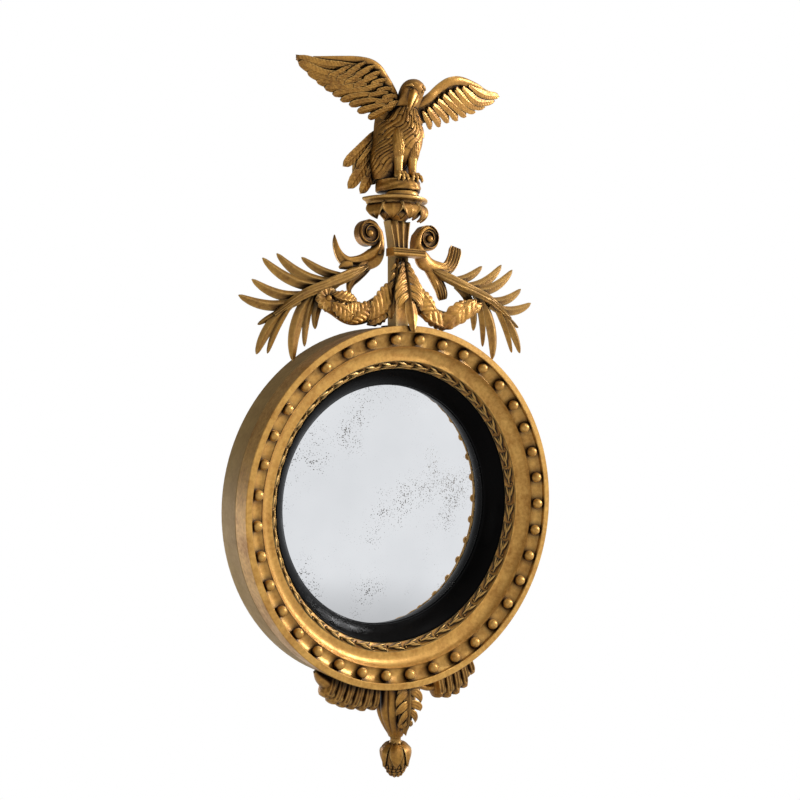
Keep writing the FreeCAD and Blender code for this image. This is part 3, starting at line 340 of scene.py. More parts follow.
def ball(centre, radius, wide=20, high=12):
    """A ball with wide faces round it and high faces from its lower to its upper pole."""
    x, y, z = centre
    lifts = [pi * row / high for row in range(high + 1)]
    return skin_rows([[(x + radius * sin(lift) * cos(a), y + radius * sin(lift) * sin(a),
                        z + radius * cos(lift)) for a in circle(wide)] for lift in lifts], "open")


def join(shapes):
    """Several meshes as one list of corners and faces."""
    verts, faces = [], []
    for some, around in shapes:
        base = len(verts)
        verts += some
        faces += [tuple(base + k for k in face) for face in around]
    return verts, faces


def on_ring(radius, degrees, depth):
    """A spot of the drum's face."""
    angle = radians(degrees)
    return np.array([radius * cos(angle), -depth, radius * sin(angle)])


piece("applied_balls", join([ball(on_ring(BALL_CIRCLE, -(BALL_TURN + 360 * i / BALLS), BALL_DEPTH), BALL_RADIUS)
                             for i in range(BALLS)]), rim_gilding)

# ---- ornament band
# A strip of leaves and berries cast in composition.  It was bent round the sight edge while soft, glued, gilt
# and toned, and the dark in its hollows is partly that toning and partly painted shade.
BAND_REPEATS = 46


def flow(stations, rows):
    """Rows of numbers through the stations along a smooth curve, with each row's share of the length."""
    table = np.array(stations, float)
    steps = np.linalg.norm(np.diff(table[:, :3], axis=0), axis=1)
    along = np.concatenate([[0], np.cumsum(steps)]) / steps.sum()
    slope = np.gradient(table, along, axis=0)
    share = np.linspace(0, 1, rows)
    i = np.clip(np.searchsorted(along, share, side="right") - 1, 0, len(along) - 2)
    gap = (along[i + 1] - along[i])[:, None]
    t = ((share - along[i]) / gap[:, 0])[:, None]
    smooth = ((1 + 2 * t) * (1 - t) ** 2 * table[i] + t * (1 - t) ** 2 * gap * slope[i]
              + t ** 2 * (3 - 2 * t) * table[i + 1] + t ** 2 * (t - 1) * gap * slope[i + 1])
    return smooth, share


def unit(vectors):
    return vectors / np.maximum(np.linalg.norm(vectors, axis=-1, keepdims=True), 1e-9)


def along_path(spots, front):
    """For each spot of a path its run, its facing towards the front and its side."""
    run = unit(np.gradient(spots, axis=0))
    ahead = np.array(front, float)
    face = unit(ahead - run * (run @ ahead)[:, None])
    return run, face, np.cross(run, face)


def blade(stations, rows=20, cols=8, front=(0, -1, 0), form=None, edge=None, relief=None):
    """A carved leaf through stations of (x, y, z, half width, ridge in front, belly behind).

    form gives the front's height across the leaf, edge its outline and relief its cut lines, all by the share
    of the length and the place across from -1 to 1.
    """
    track, share = flow(stations, rows)
    spots = track[:, :3]
    _, face, side = along_path(spots, front)
    u = share[:, None]

    def skin(v, height):
        wide = np.maximum(track[:, 3:4], 0.05) * (edge(u, v) if edge else 1.0) * np.ones_like(v)
        return spots[:, None] + side[:, None] * (wide * v)[..., None] + face[:, None] * height[..., None]

    v = np.linspace(-1, 1, cols + 1)[None, :]
    high = track[:, 4:5] * (form(v) if form else np.sqrt(1 - 0.96 * v ** 2))
    if relief:
        high = high + relief(u, v)
    back = v[:, -2:0:-1]
    low = -track[:, 5:6] * np.sqrt(1 - back ** 2)
    return skin_rows(np.concatenate([skin(v, high), skin(back, low)], axis=1).tolist())


def ring_leaf(start, end, half, ridge, front):
    """A small leaf on the band, between two spots of (radius, degrees, depth)."""
    a, b = on_ring(*start), on_ring(*end)
    return blade([(*(a + (b - a) * s), half * w, ridge * h, 0.8)
                  for s, w, h in ((0, 0.3, 0.6), (0.35, 1, 1), (0.7, 0.8, 0.9), (1, 0.08, 0.3))], 6, 4, front)


band_parts = [lathe([(243.2, 61), (243.2, 56.3), (230.2, 46.8), (230.2, 48.4), (231.4, 48.6), (236.8, 52.6),
                     (241.4, 57.6), (242.2, 61)], 220)]
for i in range(BAND_REPEATS):
    turn = 360 * i / BAND_REPEATS
    tilt = np.array([0, -0.8, 0]) - on_ring(0.6, turn, 0)
    berry_circle, berry_depth = (234.5, 52.4) if i % 2 else (239.5, 55.6)
    band_parts += [
        ring_leaf((236.4, turn, 52.2), (241.8, turn + 5.6, 58.2), 2.6, 3.6, tilt),
        ring_leaf((236.4, turn, 52.2), (232.2, turn + 5.4, 49.2), 2.4, 3.6, tilt),
        ring_leaf((236.8, turn - 2, 53.2), (236.4, turn + 4.8, 53.0), 1.9, 4.0, tilt),
        ball(on_ring(berry_circle, turn + 6.4, berry_depth), 2.2, 8, 5)]
# The strong close-range occlusion of this gilding paints shade in the gaps between the leaves and berries.
band_gilding = gilding("cast_band_gilding", "#D9A24A", "#9A6424", "#1C0D02", 0.5, 0.38, 2.2, shade=6)
piece("ornament_band", join(band_parts), band_gilding, 60)

# ---- ebonised slip
# A slip turned of pine, blacked and waxed, with reeds outside, a wide scoop and a lip on the glass.  Screws
# hold it from behind.
ebonised, black, black_place = new_material("ebonised_wax")
black_cloud = noise(black, black_place, 25, 4.0)
brush_marks = bumped(black, noise(black, black_place, 2, 3.0), 0.2, 0.15)
coat(black, Base_Color=mixed(black, black_cloud, "#050505", "#0D0B0A"), Normal=brush_marks,
     Roughness=remap(black, black_cloud, 0.35, 0.65, 0.22, 0.36), Specular_IOR_Level=0.03)
scoop = arc((226, 47), (205.6, 23.6), -1.4, 12)
slip_line = [
    (230, 47.0), (229.4, 48.5), (228.4, 49), (227.6, 48.6), (227.2, 47.4), (226.8, 47.6), (226, 47),
    *scoop[1:], (205, 22.6), (204.2, 22), (204, 21.2), (204, 19), (209.5, 16.5), (209.5, 10), (230, 10)]
piece("ebonised_slip", lathe(slip_line, 300), ebonised, 30)

# ---- mirror glass
# A convex plate of crown glass, bent over a mould and silvered behind.  It lies in the slip's rebate, and its
# old silvering is foxed in drifts of small spots.
GLASS_CURVE, GLASS_EDGE, GLASS_CROWN, GLASS_THICK = 814, 209.2, 44.67, 3


def glass_face(behind, steps):
    """The outline of one face of the glass from its middle to its edge."""
    curve = GLASS_CURVE - behind
    radii = [GLASS_EDGE * i / steps for i in range(steps + 1)]
    line = [(radius, GLASS_CROWN - behind - (curve - sqrt(curve ** 2 - radius ** 2))) for radius in radii]
    return [(0.01, line[0][1])] + line[1:]


silver, sil, sil_place = new_material("foxed_silvered_glass")
# Specks up to 2.9 mm apart, their size varied over 9 mm, gather in drifts 90 mm across; the haze is 140 mm.
drift = remap(sil, noise(sil, sil_place, 90, 2.0), 0.36, 0.68, 0.0, 0.86)
specks = add_node(sil, "TexVoronoi", {"Vector": sil_place, "Scale": 1 / (2.9 * MM), "Randomness": 1.0})
reach = add_node(sil, "Math", {0: noise(sil, sil_place, 9, 3.0), 1: drift}, operation="MULTIPLY")
speck_edge = add_node(sil, "Math", {0: reach, 1: specks.outputs["Distance"]}, operation="SUBTRACT")
foxing = remap(sil, speck_edge, 0.02, 0.16)
haze = mixed(sil, noise(sil, sil_place, 140, 3.0), "#D4D6D9", "#ECEDEF")
coat(sil, Base_Color=mixed(sil, foxing, haze, "#6C6966"), Metallic=1.0,
     Roughness=remap(sil, foxing, 0.0, 1.0, 0.03, 0.5))
glass_line = glass_face(0, 60) + glass_face(GLASS_THICK, 20)[::-1]
piece("mirror_glass", lathe(glass_line, 256), silver, 30)

# ---- crest: post, stem and collar
# A pine post stands on the drum, tied to it by an iron bracket behind.  Its upper part is fluted, and a reeded
# collar binds post and scrolls together.
carved_gilding = gilding("carved_gilding", "#D49B42", "#8F5E20", "#241103", 0.5, 0.36, 1.5)


def carved(node, shape, sharp=60):
    """A piece carved in pine, with edges kept sharp above an angle."""
    piece(node, shape, carved_gilding, sharp=sharp)


def at(x, depth, height):
    """A spot of the crest: depth forward of the wall, height above the top of the drum."""
    return (x, -depth, RING + height)


def mirror(shape):
    verts, faces = shape
    return [(-x, y, z) for x, y, z in verts], [face[::-1] for face in faces]


def stem_section(half, front, back, height, flutes, deep, rows=5):
    """An upright timber's section with flutes cut in its front."""
    points = [at(-half, back, height), at(-half, front, height)]
    for i in range(flutes):
        for k in range(rows + 1):
            across = -half + 2 * half * (i + 0.12 + 0.76 * k / rows) / flutes
            points.append(at(across, front - deep * sin(pi * k / rows) ** 0.7, height))
    return points + [at(half, front, height), at(half, back, height)]


STEM_STEPS = 12
stem_rows = [stem_section(12.5 + 8.5 * (i / STEM_STEPS) ** 1.8, 60 - 6 * i / STEM_STEPS, 35,
                          115.2 + 61.6 * i / STEM_STEPS, 3, 3.4) for i in range(STEM_STEPS + 1)]
carved("crest_post", skin_rows([stem_section(12.5, 60, 35, h, 1, 0.6) for h in (-0.5, 20, 60, 100, 115)]), 40)
carved("fluted_stem", skin_rows(stem_rows), 35)
reeds = [(82.2 + 1.6 * sin(pi * k / 4), foot + 0.8 * k) for foot in (121, 124.6) for k in range(5)]
collar_line = [(60.4, 115), (82, 115), (84.6, 115.6), (86, 117.4), (85.4, 119.4), (83.4, 120.4), (82.2, 121),
               *reeds, (60.4, 127.8)]
piece("collar_band", skin_rows([[at(x, depth, height) for depth, height in collar_line] for x in (-32, 32)]),
      rim_gilding, sharp=50)

# ---- leaf cup, abacus and plinth
# The capital: a cup of broad drooping petals carved in pine, a moulded abacus turned in half and a round plinth
# that the eagle's rock stands on, all glued one on the other.
PETALS = 5
# A petal's top, length, half width and reach from the post's back.
FRONT_PETAL, BACK_PETAL = (203, 25.5, 18, 57), (201, 24.5, 13, 51)
# Its stations: share of the length, bulge, half width and thickness.
PETAL_FORM = [(0, -7, 1.0, 3), (0.2, -2, 1.04, 3.2), (0.4, 0, 0.98, 3.2), (0.58, 0, 0.76, 3),
              (0.75, -2, 0.5, 2.8), (0.9, -5, 0.2, 2), (1, -7.5, 0.02, 1)]
POST_BACK = 35


def petal(angle, top, length, half, reach):
    """A broad petal that bulges out from the cup and curls in to a pointed tip, with a thin raised edge."""
    out = np.array([sin(angle), -cos(angle), 0])
    stations = []
    for share, bulge, wide, thick in PETAL_FORM:
        spot = np.array(at(0, POST_BACK, top - length * share)) + out * (reach + bulge - 4)
        stations.append((*spot, half * wide, thick, 2))
    return blade(stations, 26, 18, out, form=lambda v: 0.55 - 0.25 * v ** 2 + 0.75 * np.exp(
        -((abs(v) - 0.86) / 0.09) ** 2) + 0.25 * np.exp(-(v / 0.1) ** 2))


def half_turned(outline, depth, sides=28, back=POST_BACK):
    """Half-round turned work, flat behind, from an outline of (radius, height)."""
    rows = []
    for radius, height in outline:
        cut = asin(min((depth - back) / radius, 1)) if depth > back else 0
        angles = [pi + cut - (pi + 2 * cut) * k / sides for k in range(sides + 1)]
        rows.append([at(radius * cos(a), depth + radius * sin(a), height) for a in angles])
    return skin_rows(rows)


def turned(outline, x, depth, sides=40, spot=at):
    """Round turned work on an upright axis, from an outline of (radius, height)."""
    return skin_rows([[spot(x + r * cos(a), depth + r * sin(a), h) for a in circle(sides)]
                      for r, h in outline])


cup_parts = [half_turned([(19, 177), (22, 181), (30, 188), (38, 195), (43, 200), (45, 203)], POST_BACK)]
for count, first, form in ((PETALS, 0.5, FRONT_PETAL), (PETALS - 1, 1, BACK_PETAL)):
    cup_parts += [petal(pi * ((i + first) / PETALS - 0.5) * 0.97, *form) for i in range(count)]
carved("leaf_cup", join(cup_parts), 40)
abacus_line = [
    (50, 203), (51.5, 204), (52, 206), (53.5, 208), (57, 209.4), (59, 210.4), (59.8, 212), (59.6, 214),
    (58.5, 215)]
piece("crest_abacus", half_turned(abacus_line, 30, 40, 30), rim_gilding)
piece("eagle_plinth", turned([(26.5, 215.2), (28, 216), (28.6, 218.5), (28, 221), (26.8, 222.8)], 0, 59),
      rim_gilding)

# ---- volutes
# Each scroll is sawn from a pine board: a stalk beside the stem widens into a rolled blade that curls over,
# with a raised fillet that winds in to a round eye.
EYE_X, EYE_HEIGHT, SCROLL = 58.4, 153, 22


def crest_blade(stations, *sizes, **shaping):
    """A blade whose stations start with (x, depth, height) in the crest."""
    return blade([(*at(x, depth, height), *form) for x, depth, height, *form in stations], *sizes, **shaping)


def coil(turn, radius):
    """A spot of the scroll's face, by turns run inward from its top."""
    angle = radians(90) - 2 * pi * turn
    return EYE_X + radius * cos(angle), EYE_HEIGHT + radius * sin(angle)


def cord_along(path, radius, sides=8, flat=1.0):
    """A round fillet along a path, with a radius at each spot; flat is its height for its width."""
    spots = np.array(path, float)
    run = unit(np.gradient(spots, axis=0))
    side = unit(np.cross(run, np.array([0, -1, 0])))
    lift = np.cross(side, run)
    return skin_rows([[tuple(spot + side[i] * r * cos(a) + lift[i] * r * flat * sin(a))
                       for a in circle(sides)] for i, (spot, r) in enumerate(zip(spots, radius))])


def scroll():
    """The right scroll: its board, its fillet, its rolled blade, its inner edge and its eye."""
    rim = [coil(i / 60, SCROLL - 0.3) for i in range(-6, 44)]
    board = [(38, 118), (32.5, 125), (30.5, 133), (31, 145), (34, 157), *rim, (46, 135), (48.5, 128), (48, 121)]
    path, radii = [], []
    for share in [i / 80 for i in range(81)]:
        turn = 0.02 + 1.53 * share
        x, height = coil(turn, SCROLL - 1.0 - 9.4 * turn)
        path.append(at(x, 54, height))
        radii.append(1.25 - 0.35 * share)
    roll = crest_blade([(x, 52.5, h, half, ridge, 3) for x, h, half, ridge in (
        (39.5, 119, 4.0, 2.0), (37.2, 130, 6.2, 4.6), (37.6, 144, 5.6, 4.8), (41.2, 156.6, 4.8, 4.6),
        (48.8, 165.8, 4.0, 4.2), (58.6, 170.2, 3.4, 3.8), (68.5, 168.1, 2.7, 3.1),
        (76, 160.5, 1.6, 2.2))], 60, 10)
    inner = [(48, 120, 1.2), (48.2, 125, 1.2), (46.5, 131, 1.1), (42, 139, 1.0), (39.8, 146, 0.8)]
    edge = cord_along([at(x, 53.5, h) for x, h, _ in inner], [radius for _, _, radius in inner], flat=2.0)
    return join([skin_rows([[at(x, depth, height) for x, height in board] for depth in (37, 53)]),
                 cord_along(path, radii, 10, flat=3.6), roll, edge,
                 ball(at(EYE_X + 1.4, 53.5, EYE_HEIGHT - 1.6), 6.6, 22, 14)])


right_scroll = scroll()
carved("right_volute", right_scroll, 35)
carved("left_volute", mirror(right_scroll), 35)

# ---- acanthus
# Curled leaves carved in pine flow out from the foot of each scroll: folded horns that curl up and down on the
# left, and fans with spread ribs on the right.


def fan(u, v):
    """Ribs that spread along a fan-shaped leaf."""
    return 1.3 * np.cos(pi * 4.4 * v) * np.clip(u * 2.6 - 1.1, 0, 1)


def horn_form(v):
    """A folded leaf: high near one edge, hollow behind it."""
    return 0.5 + 0.5 * np.cos(pi * (v + 0.5) * 1.05) - 0.3 * abs(v) ** 4


def folds(u, v):
    """Long shallow folds that follow the leaf."""
    return 0.8 * np.cos(2 * pi * (1.6 * v + 0.7 * u)) * np.sin(pi * np.clip(u * 1.2, 0, 1))


leaf_foot = [(37, 48, 141, 5, 9, 7), (40.5, 51, 128, 10.5, 10, 8)]
left_leaf = [
    crest_blade(leaf_foot + [
        (50, 50, 114, 16, 8.5, 9), (63, 49, 106, 15, 7.5, 9), (80, 49, 101, 13, 6.5, 9),
        (98, 48, 101, 11, 6, 8), (111, 47, 110, 8.5, 5, 7), (118, 46, 123, 6, 4, 6),
        (121, 45, 137, 3.4, 3, 4), (121.5, 45, 145.5, 0.6, 1.2, 2)], 60, 18, form=horn_form, relief=folds),
    crest_blade([
        (50, 47, 118, 9, 5, 7), (66, 48, 99, 12, 6, 8), (82, 47, 82, 11, 6, 8), (92, 46, 68, 7.5, 5, 6),
        (94, 45, 57, 4, 3, 4), (88, 43, 47.5, 0.6, 1.5, 2)], 44, 16, form=horn_form, relief=folds),
    crest_blade([(92, 49, 100, 8, 5, 7), (108, 47, 95, 6, 4, 5), (113, 45, 92, 2, 2, 3)], 14, 8)]
right_leaf = [
    crest_blade(leaf_foot + [
        (50, 50, 114, 15, 8.5, 9), (63, 49, 107, 13, 7.5, 9), (80, 49, 103, 12, 6.5, 9),
        (98, 48, 103, 11.5, 6, 8), (110, 47, 113, 12.5, 5, 7), (117, 46, 126, 13, 4, 5),
        (121, 45, 139, 12.5, 3, 3.5), (122, 45, 143, 10.5, 1, 1)], 60, 26, relief=fan),
    crest_blade([
        (50, 47, 118, 8, 5, 7), (66, 48, 98, 10, 6, 8), (80, 47, 81, 11.5, 6, 8), (89, 46, 67, 11.5, 5, 6),
        (94, 44, 54, 10, 3, 4), (95, 43, 50, 8, 1, 1)], 44, 24, relief=fan)]
carved("left_acanthus", mirror(join(left_leaf)), 40)
carved("right_acanthus", join(right_leaf), 40)

# ---- sprays
# Flat sprays carved in pine and fixed to the scroll's foot: long smooth leaves off a bowed midrib, each with
# one sharp ridge near an edge.
# Each leaf: base, tip, sag to its right as a share of its length, and half width.
SPRAY = [
    ((104, 80), (181, 109), 0.09, 7.5), ((122, 70), (225, 113), 0.125, 9), ((138, 64), (250, 105), 0.125, 9),
    ((166, 52), (269, 71), 0.135, 8.5), ((190, 40), (292, 46), 0.12, 8.5), ((214, 28), (261, 1), 0.0, 5),
    ((206, 34), (264, -45), -0.08, 9), ((206, 34), (245, -44), -0.05, 6), ((160, 58), (200, -56), -0.12, 11),
    ((162, 56), (179, -33), -0.06, 6.5), ((118, 72), (159, -5), -0.17, 9)]
# The midrib: x, height and half width.
SPRAY_RIB = [(64, 99, 2), (84, 90, 8), (110, 79, 9.5), (145, 65, 9), (188, 48, 7.5), (214, 32, 6), (236, 16, 4)]
# Stations of a leaf: share of its length, half width and thickness.
SPRAY_FORM = [(0, 0.75, 1), (0.2, 0.95, 1), (0.45, 1.0, 0.9), (0.7, 0.92, 0.75), (0.88, 0.66, 0.55),
              (0.97, 0.36, 0.4), (1, 0.12, 0.25)]


def spray_leaf(base, tip, sag, half, depth=51, tip_depth=43):
    """A long leaf from the midrib to its tip, which leans back to the wall."""
    run = np.array([tip[0] - base[0], tip[1] - base[1]], float)
    right = np.array([run[1], -run[0]])
    stations = []
    for share, wide, thick in SPRAY_FORM:
        x, height = np.array(base) + run * share + right * (4 * sag * share * (1 - share))
        stations.append((x, depth - (depth - tip_depth) * share, height, half * wide, 6 * thick, 5 * thick))
    return crest_blade(stations, 26, 8, form=lambda v: 0.35 + 0.65 * np.exp(-((v + 0.25) / 0.42) ** 2)
                       - 0.3 * abs(v) ** 5)


def drooped(shape, degrees):
    """A side piece swung about the collar, as it sits on the object."""
    verts, faces = shape
    c, s = cos(radians(degrees)), sin(radians(degrees))
    hub = RING + 115
    return [(x * c + (z - hub) * s, y, hub - x * s + (z - hub) * c) for x, y, z in verts], faces


spray_shape = join([crest_blade([(x, 49 + 9 * sin(pi * i / 6), h, half, 6, 7)
                                 for i, (x, h, half) in enumerate(SPRAY_RIB)], 40, 12,
                                relief=lambda u, v: 0.8 * np.cos(pi * 3 * (v + 0.6 * u)))]
                   + [spray_leaf(*leaf) for leaf in SPRAY])
spray_gilding = gilding("spray_gilding", "#B98A3C", "#835A22", "#2E1A06", 0.5, 0.38, 1.2)
piece("left_spray", drooped(mirror(spray_shape), -1.3), spray_gilding)
piece("right_spray", drooped(spray_shape, -1.4), spray_gilding)

# ---- leaves and garlands above the drum
# A tall acanthus leaf is glued before the post with a smaller bud leaf beside it, and carved garlands of broad
# leaves, each with an open flower at its outer end, hang from the post to the sprays.


def lobed_leaf(spine, pairs):
    """An acanthus leaf: a ridged spine with veined lobes that sweep to its tip, one pair after another.

    Each lobe: its place along the spine, its reach to the side, its run along the spine and its half width.
    """
    spots = flow(spine, 60)[0][:, :3]
    run, face, side = along_path(spots, (0, -1, 0))
    parts = [blade(spine, 70, 14, form=lambda v: 0.5 - 0.3 * abs(v) + 0.8 * np.exp(-(v / 0.2) ** 2))]
    for sign in (-1, 1):
        for share, reach, along, half in pairs:
            i = int(share * 59)
            root = spots[i] + face[i] * 0.6
            tip = root + side[i] * sign * reach + run[i] * along - face[i] * 1.6
            bend = root + side[i] * sign * reach * 0.6 + run[i] * along * 0.3 + face[i] * 2.2
            near_tip = bend * 0.4 + tip * 0.6 + side[i] * sign * reach * 0.1 + face[i] * 0.6
            stations = [(*root, half * 0.8, 2.6, 2), (*bend, half, 3.0, 2), (*near_tip, half * 0.62, 2.2, 1.6),
                        (*tip, 0.4, 0.5, 0.6)]
            parts.append(blade(stations, 22, 14, face[i], form=lambda v: 0.8 - 0.3 * v ** 2, relief=lambda u, v:
                               0.9 * (abs(np.cos(pi * 1.5 * v)) - 0.6) * np.sin(pi * np.clip(u * 1.1, 0, 1))))
    return join(parts)


centre = [
    (64, 113, 5), (69, 98, 4.5), (75, 78, 5), (81, 50, 7), (84, 34, 10), (87, 22, 12), (89, 12, 11),
    (91, 2, 8), (92, -6, 5), (92, -11, 0.8)]
centre_lobes = [
    (0.06, 9, 18, 3.6), (0.13, 14, 22, 4.6), (0.21, 20, 25, 5.6), (0.3, 25, 26, 6.4), (0.4, 27, 26, 6.6),
    (0.5, 23, 26, 6.2)]
centre_spine = [(*at(0, depth, height), half, 4.5, 2.5) for depth, height, half in centre]
carved("centre_leaf", lobed_leaf(centre_spine, centre_lobes))
bud = [
    (-15, 67, 112, 3), (-17, 67, 100, 4), (-19, 68, 84, 4.5), (-23, 69, 60, 5), (-26, 70, 44, 7),
    (-28, 70, 30, 8), (-29, 70, 18, 5.5), (-29, 70, 11, 0.8)]
bud_lobes = [(0.1, 7, 16, 3.4), (0.24, 9, 19, 4.0), (0.4, 9, 19, 4.0)]
bud_spine = [(*at(x, depth, height), half, 5, 3) for x, depth, height, half in bud]
carved("bud_leaf", lobed_leaf(bud_spine, bud_lobes))


def ribbed(count, depth, spine):
    """Parallel ribs that leave a spine and curve over the leaf."""
    def relief(u, v):
        ribs = abs(np.sin(pi * count * (u + 0.16 * abs(v - spine)))) ** 0.8
        return (depth * (ribs - 0.6) * (1 - np.exp(-((v - spine) / 0.16) ** 2))
                + 1.6 * np.exp(-((v - spine) / 0.12) ** 2))
    return relief


def scalloped(count, depth):
    """An edge of shallow scallops."""
    return lambda u, v: 1 - depth * (1 - abs(np.sin(pi * count * (u + 0.12)))) * (abs(v) > 0)


# Stations of a garland's leaf: share of its length, half width and thickness.
LEAF_FORM = [(0, 0.3, 0.7), (0.2, 0.8, 1), (0.45, 1, 1), (0.7, 0.86, 1), (0.88, 0.5, 0.8), (1, 0.06, 0.3)]


def leaf_over(base, tip, half, ribs, rise=4, spine=0.55):
    """A broad ribbed leaf laid over the garland, from base to tip as (x, depth, height)."""
    a, b = np.array(base, float), np.array(tip, float)
    stations = []
    for share, wide, thick in LEAF_FORM:
        x, depth, height = a + (b - a) * share
        stations.append((x, depth + rise * sin(pi * share), height, half * wide, 4.5 * thick, 3))
    return crest_blade(stations, 72, 18, edge=scalloped(ribs, 0.18), relief=ribbed(ribs, 1.6, spine))


def dished(v):
    """A petal's front: raised rims, a hollow on each side and a ridge down the middle."""
    return 0.62 + 0.38 * np.cos(2 * pi * v) - 0.5 * abs(v) ** 6


def blossom(hub, out_angle, petals, size):
    """An open flower at a garland's end: petals round a small boss, tipped to face outward."""
    hub = np.array(hub)
    fore = np.array([0, -1, 0])
    parts = []
    for k in range(petals):
        angle = radians(out_angle - 110 + 220 * k / (petals - 1))
        out = np.array([cos(angle), 0, sin(angle)])
        parts.append(blade([(*(hub - out * 2), size * 0.28, 2.5, 3),
                            (*(hub + out * size * 0.45 + fore * 3), size * 0.36, 2.6, 2),
                            (*(hub + out * size * 0.8 + fore * 3), size * 0.3, 2, 1.5),
                            (*(hub + out * size), 0.4, 0.8, 0.8)], 18, 10, form=dished))
    return parts + [ball(hub + fore * 5, size * 0.26, 14, 10)]


def swag_core(turns, depth):
    """The rounded body of a garland under its leaves, with slanting grooves."""
    return crest_blade(SWAG, 80, 20, relief=lambda u, v:
                       depth * (abs(np.sin(pi * (turns * u + 1.1 * v))) - 0.5))


SWAG = [
    (16, 52, 46, 12, 9, 8), (45, 53, 34, 15, 12, 11), (75, 54, 17, 15, 12, 11), (98, 54, 14, 15, 12, 11),
    (125, 54, 27, 15, 12, 11), (148, 54, 37, 12, 10, 10), (160, 54, 42, 6, 6, 6)]
left_swag = [swag_core(5, 1.0),
             leaf_over((18, 65, 72), (72, 66, 6), 19, 8, rise=5, spine=0.6),
             leaf_over((30, 62, 26), (70, 62, 0), 13, 5),
             leaf_over((60, 63, 36), (108, 63, 2), 15, 7, spine=-0.1),
             leaf_over((84, 63, 34), (128, 63, 10), 13, 6),
             leaf_over((96, 63, 6), (140, 63, 34), 14, 6, spine=-0.4),
             leaf_over((92, 62, 40), (138, 63, 46), 11, 6), *blossom(at(143, 58, 40), 30, 7, 22)]
right_swag = [swag_core(3, 0.6),
              leaf_over((16, 64, 66), (66, 64, 16), 17, 7, rise=5, spine=-0.5),
              leaf_over((36, 64, 26), (92, 64, 2), 17, 5),
              leaf_over((72, 64, -2), (126, 66, 46), 18, 4, rise=6, spine=0.1),
              leaf_over((100, 65, 8), (152, 64, 52), 15, 4, spine=-0.5),
              leaf_over((116, 63, 20), (168, 60, 46), 11, 3, spine=0.4), *blossom(at(124, 64, 36), 60, 6, 15)]
carved("left_garland", mirror(join(left_swag)))
carved("right_garland", join(right_swag))

# ---- eagle: rock, body and legs
# The eagle is carved in pine, flat behind, with its feathers cut as long curved strands.  It grips a low rock
# with both feet and stands on a dowel.


def smooth_step(x):
    t = np.clip(x, 0, 1)
    return t * t * (3 - 2 * t)


def mound(levels, rows, cols, relief, back=30):
    """A half-round carving through levels of (height, middle, half width, depth), its skin cut by a relief."""
    track, share = flow([(0, 0, *level) for level in levels], rows)
    sections = []
    for (_, _, height, middle, half, deep), t in zip(track, share):
        a = np.linspace(pi, 0, cols + 1)
        cut = relief(a / pi, t) * np.clip(np.sin(a) * 3, 0, 1)
        x = middle + (half + cut) * np.cos(a)
        depth = back + (deep + cut) * np.sin(a)
        sections.append([at(x[k], depth[k], height) for k in range(cols + 1)])
    return skin_rows(sections)


def plumage(w, t):
    """Curved strands that sweep down to the left, broken into overlapping feather tips."""
    slant = 0.12 + 0.95 * smooth_step((w - 0.38) / 0.3)
    strand = 11 * (w + slant * (t - 0.5)) + 0.55 * np.sin(7 * t + 4 * w) + 0.25 * np.sin(19 * t - 9 * w)
    tips = (3.6 * t + 0.37 * np.floor(strand) + 0.2 * np.sin(5 * w)) % 1.0
    groove = abs(np.sin(pi * strand)) ** 0.6 - 0.55
    fine = 0.4 * np.sin(2 * pi * 3 * strand) * (1 - tips)
    return (1.7 * groove + fine + 2.0 * (0.45 - tips)) * smooth_step(t * 6)


def chipped(w, t):
    """Gouge marks and notches on the rock."""
    cuts = abs(np.sin(5.5 * w + 1.2 * np.sin(4 * t) + 0.8)) ** 0.5 - 0.6
    return 1.6 * cuts + 0.8 * np.sin(17 * w + 9 * t) * np.sin(6 * t) + 0.4 * np.sin(41 * w - 7 * t)


def thigh_cut(u, v):
    """Rows of short feathers on the thighs."""
    return 1.0 * abs(np.sin(pi * (3.2 * v + 2.6 * u))) - 0.6 + 0.5 * ((5 * u + v) % 1.0)


rock_shape = mound([
    (223.2, 4, 33, 50), (225, 4, 36.5, 53), (230, 4, 38, 55.5), (236, 3.5, 37.5, 56), (242, 3, 36, 55),
    (245, 2, 34, 53), (246, 2, 30, 48)], 24, 80, chipped)
carved("eagle_rock", rock_shape, 50)
body_shape = mound([
    (246, -8, 30, 24), (265, -6, 38, 33), (285, -4, 41, 47), (304, 2, 43, 56), (321, 5, 43, 58),
    (342, 4, 40, 57), (356, 2, 34, 56), (364, 0, 27, 55), (369, 0, 20, 52)], 130, 150, plumage)
thighs = [crest_blade([(x * 0.8, 70, 330, 9, 9, 8), (x * 0.95, 70, 314, 12, 13, 8), (x, 70, 297, 12.5, 13, 8),
                       (x, 70, 284, 10.5, 10, 6), (x, 70, 276, 8, 7, 5)], 50, 26, relief=thigh_cut)
          for x in (-14.5, 14.5)]
carved("eagle_body", join([body_shape] + thighs), 50)

SHANK = [(9.2, 283), (8.4, 276), (7.2, 268), (6.8, 260), (7.0, 253), (7.6, 248), (6.5, 246)]
leg_parts = []
for x in (-13.7, 13.7):
    leg_parts.append(turned(SHANK, x, 70, 18))
    for lean in (-9, 0, 9):
        toe = [(0.2, 72, 251, 4.6), (0.55, 78, 251.5, 4.2), (0.8, 83, 247.5, 3.6), (1, 85.5, 242, 2.6),
               (1.03, 85, 237.5, 0.7)]
        path = flow([(*at(x + lean * share, depth, height), r) for share, depth, height, r in toe], 22)[0]
        knuckles = [r * (1 + 0.14 * sin(i * 1.15)) for i, r in enumerate(path[:, 3])]
        leg_parts.append(cord_along(path[:, :3], knuckles, 10))
piece("eagle_legs", join(leg_parts), rim_gilding, sharp=60)

# ---- eagle: head
# Carved in pine with the body: a smooth crown with a brow over each eye, and a strong hooked beak that hangs
# a little open.


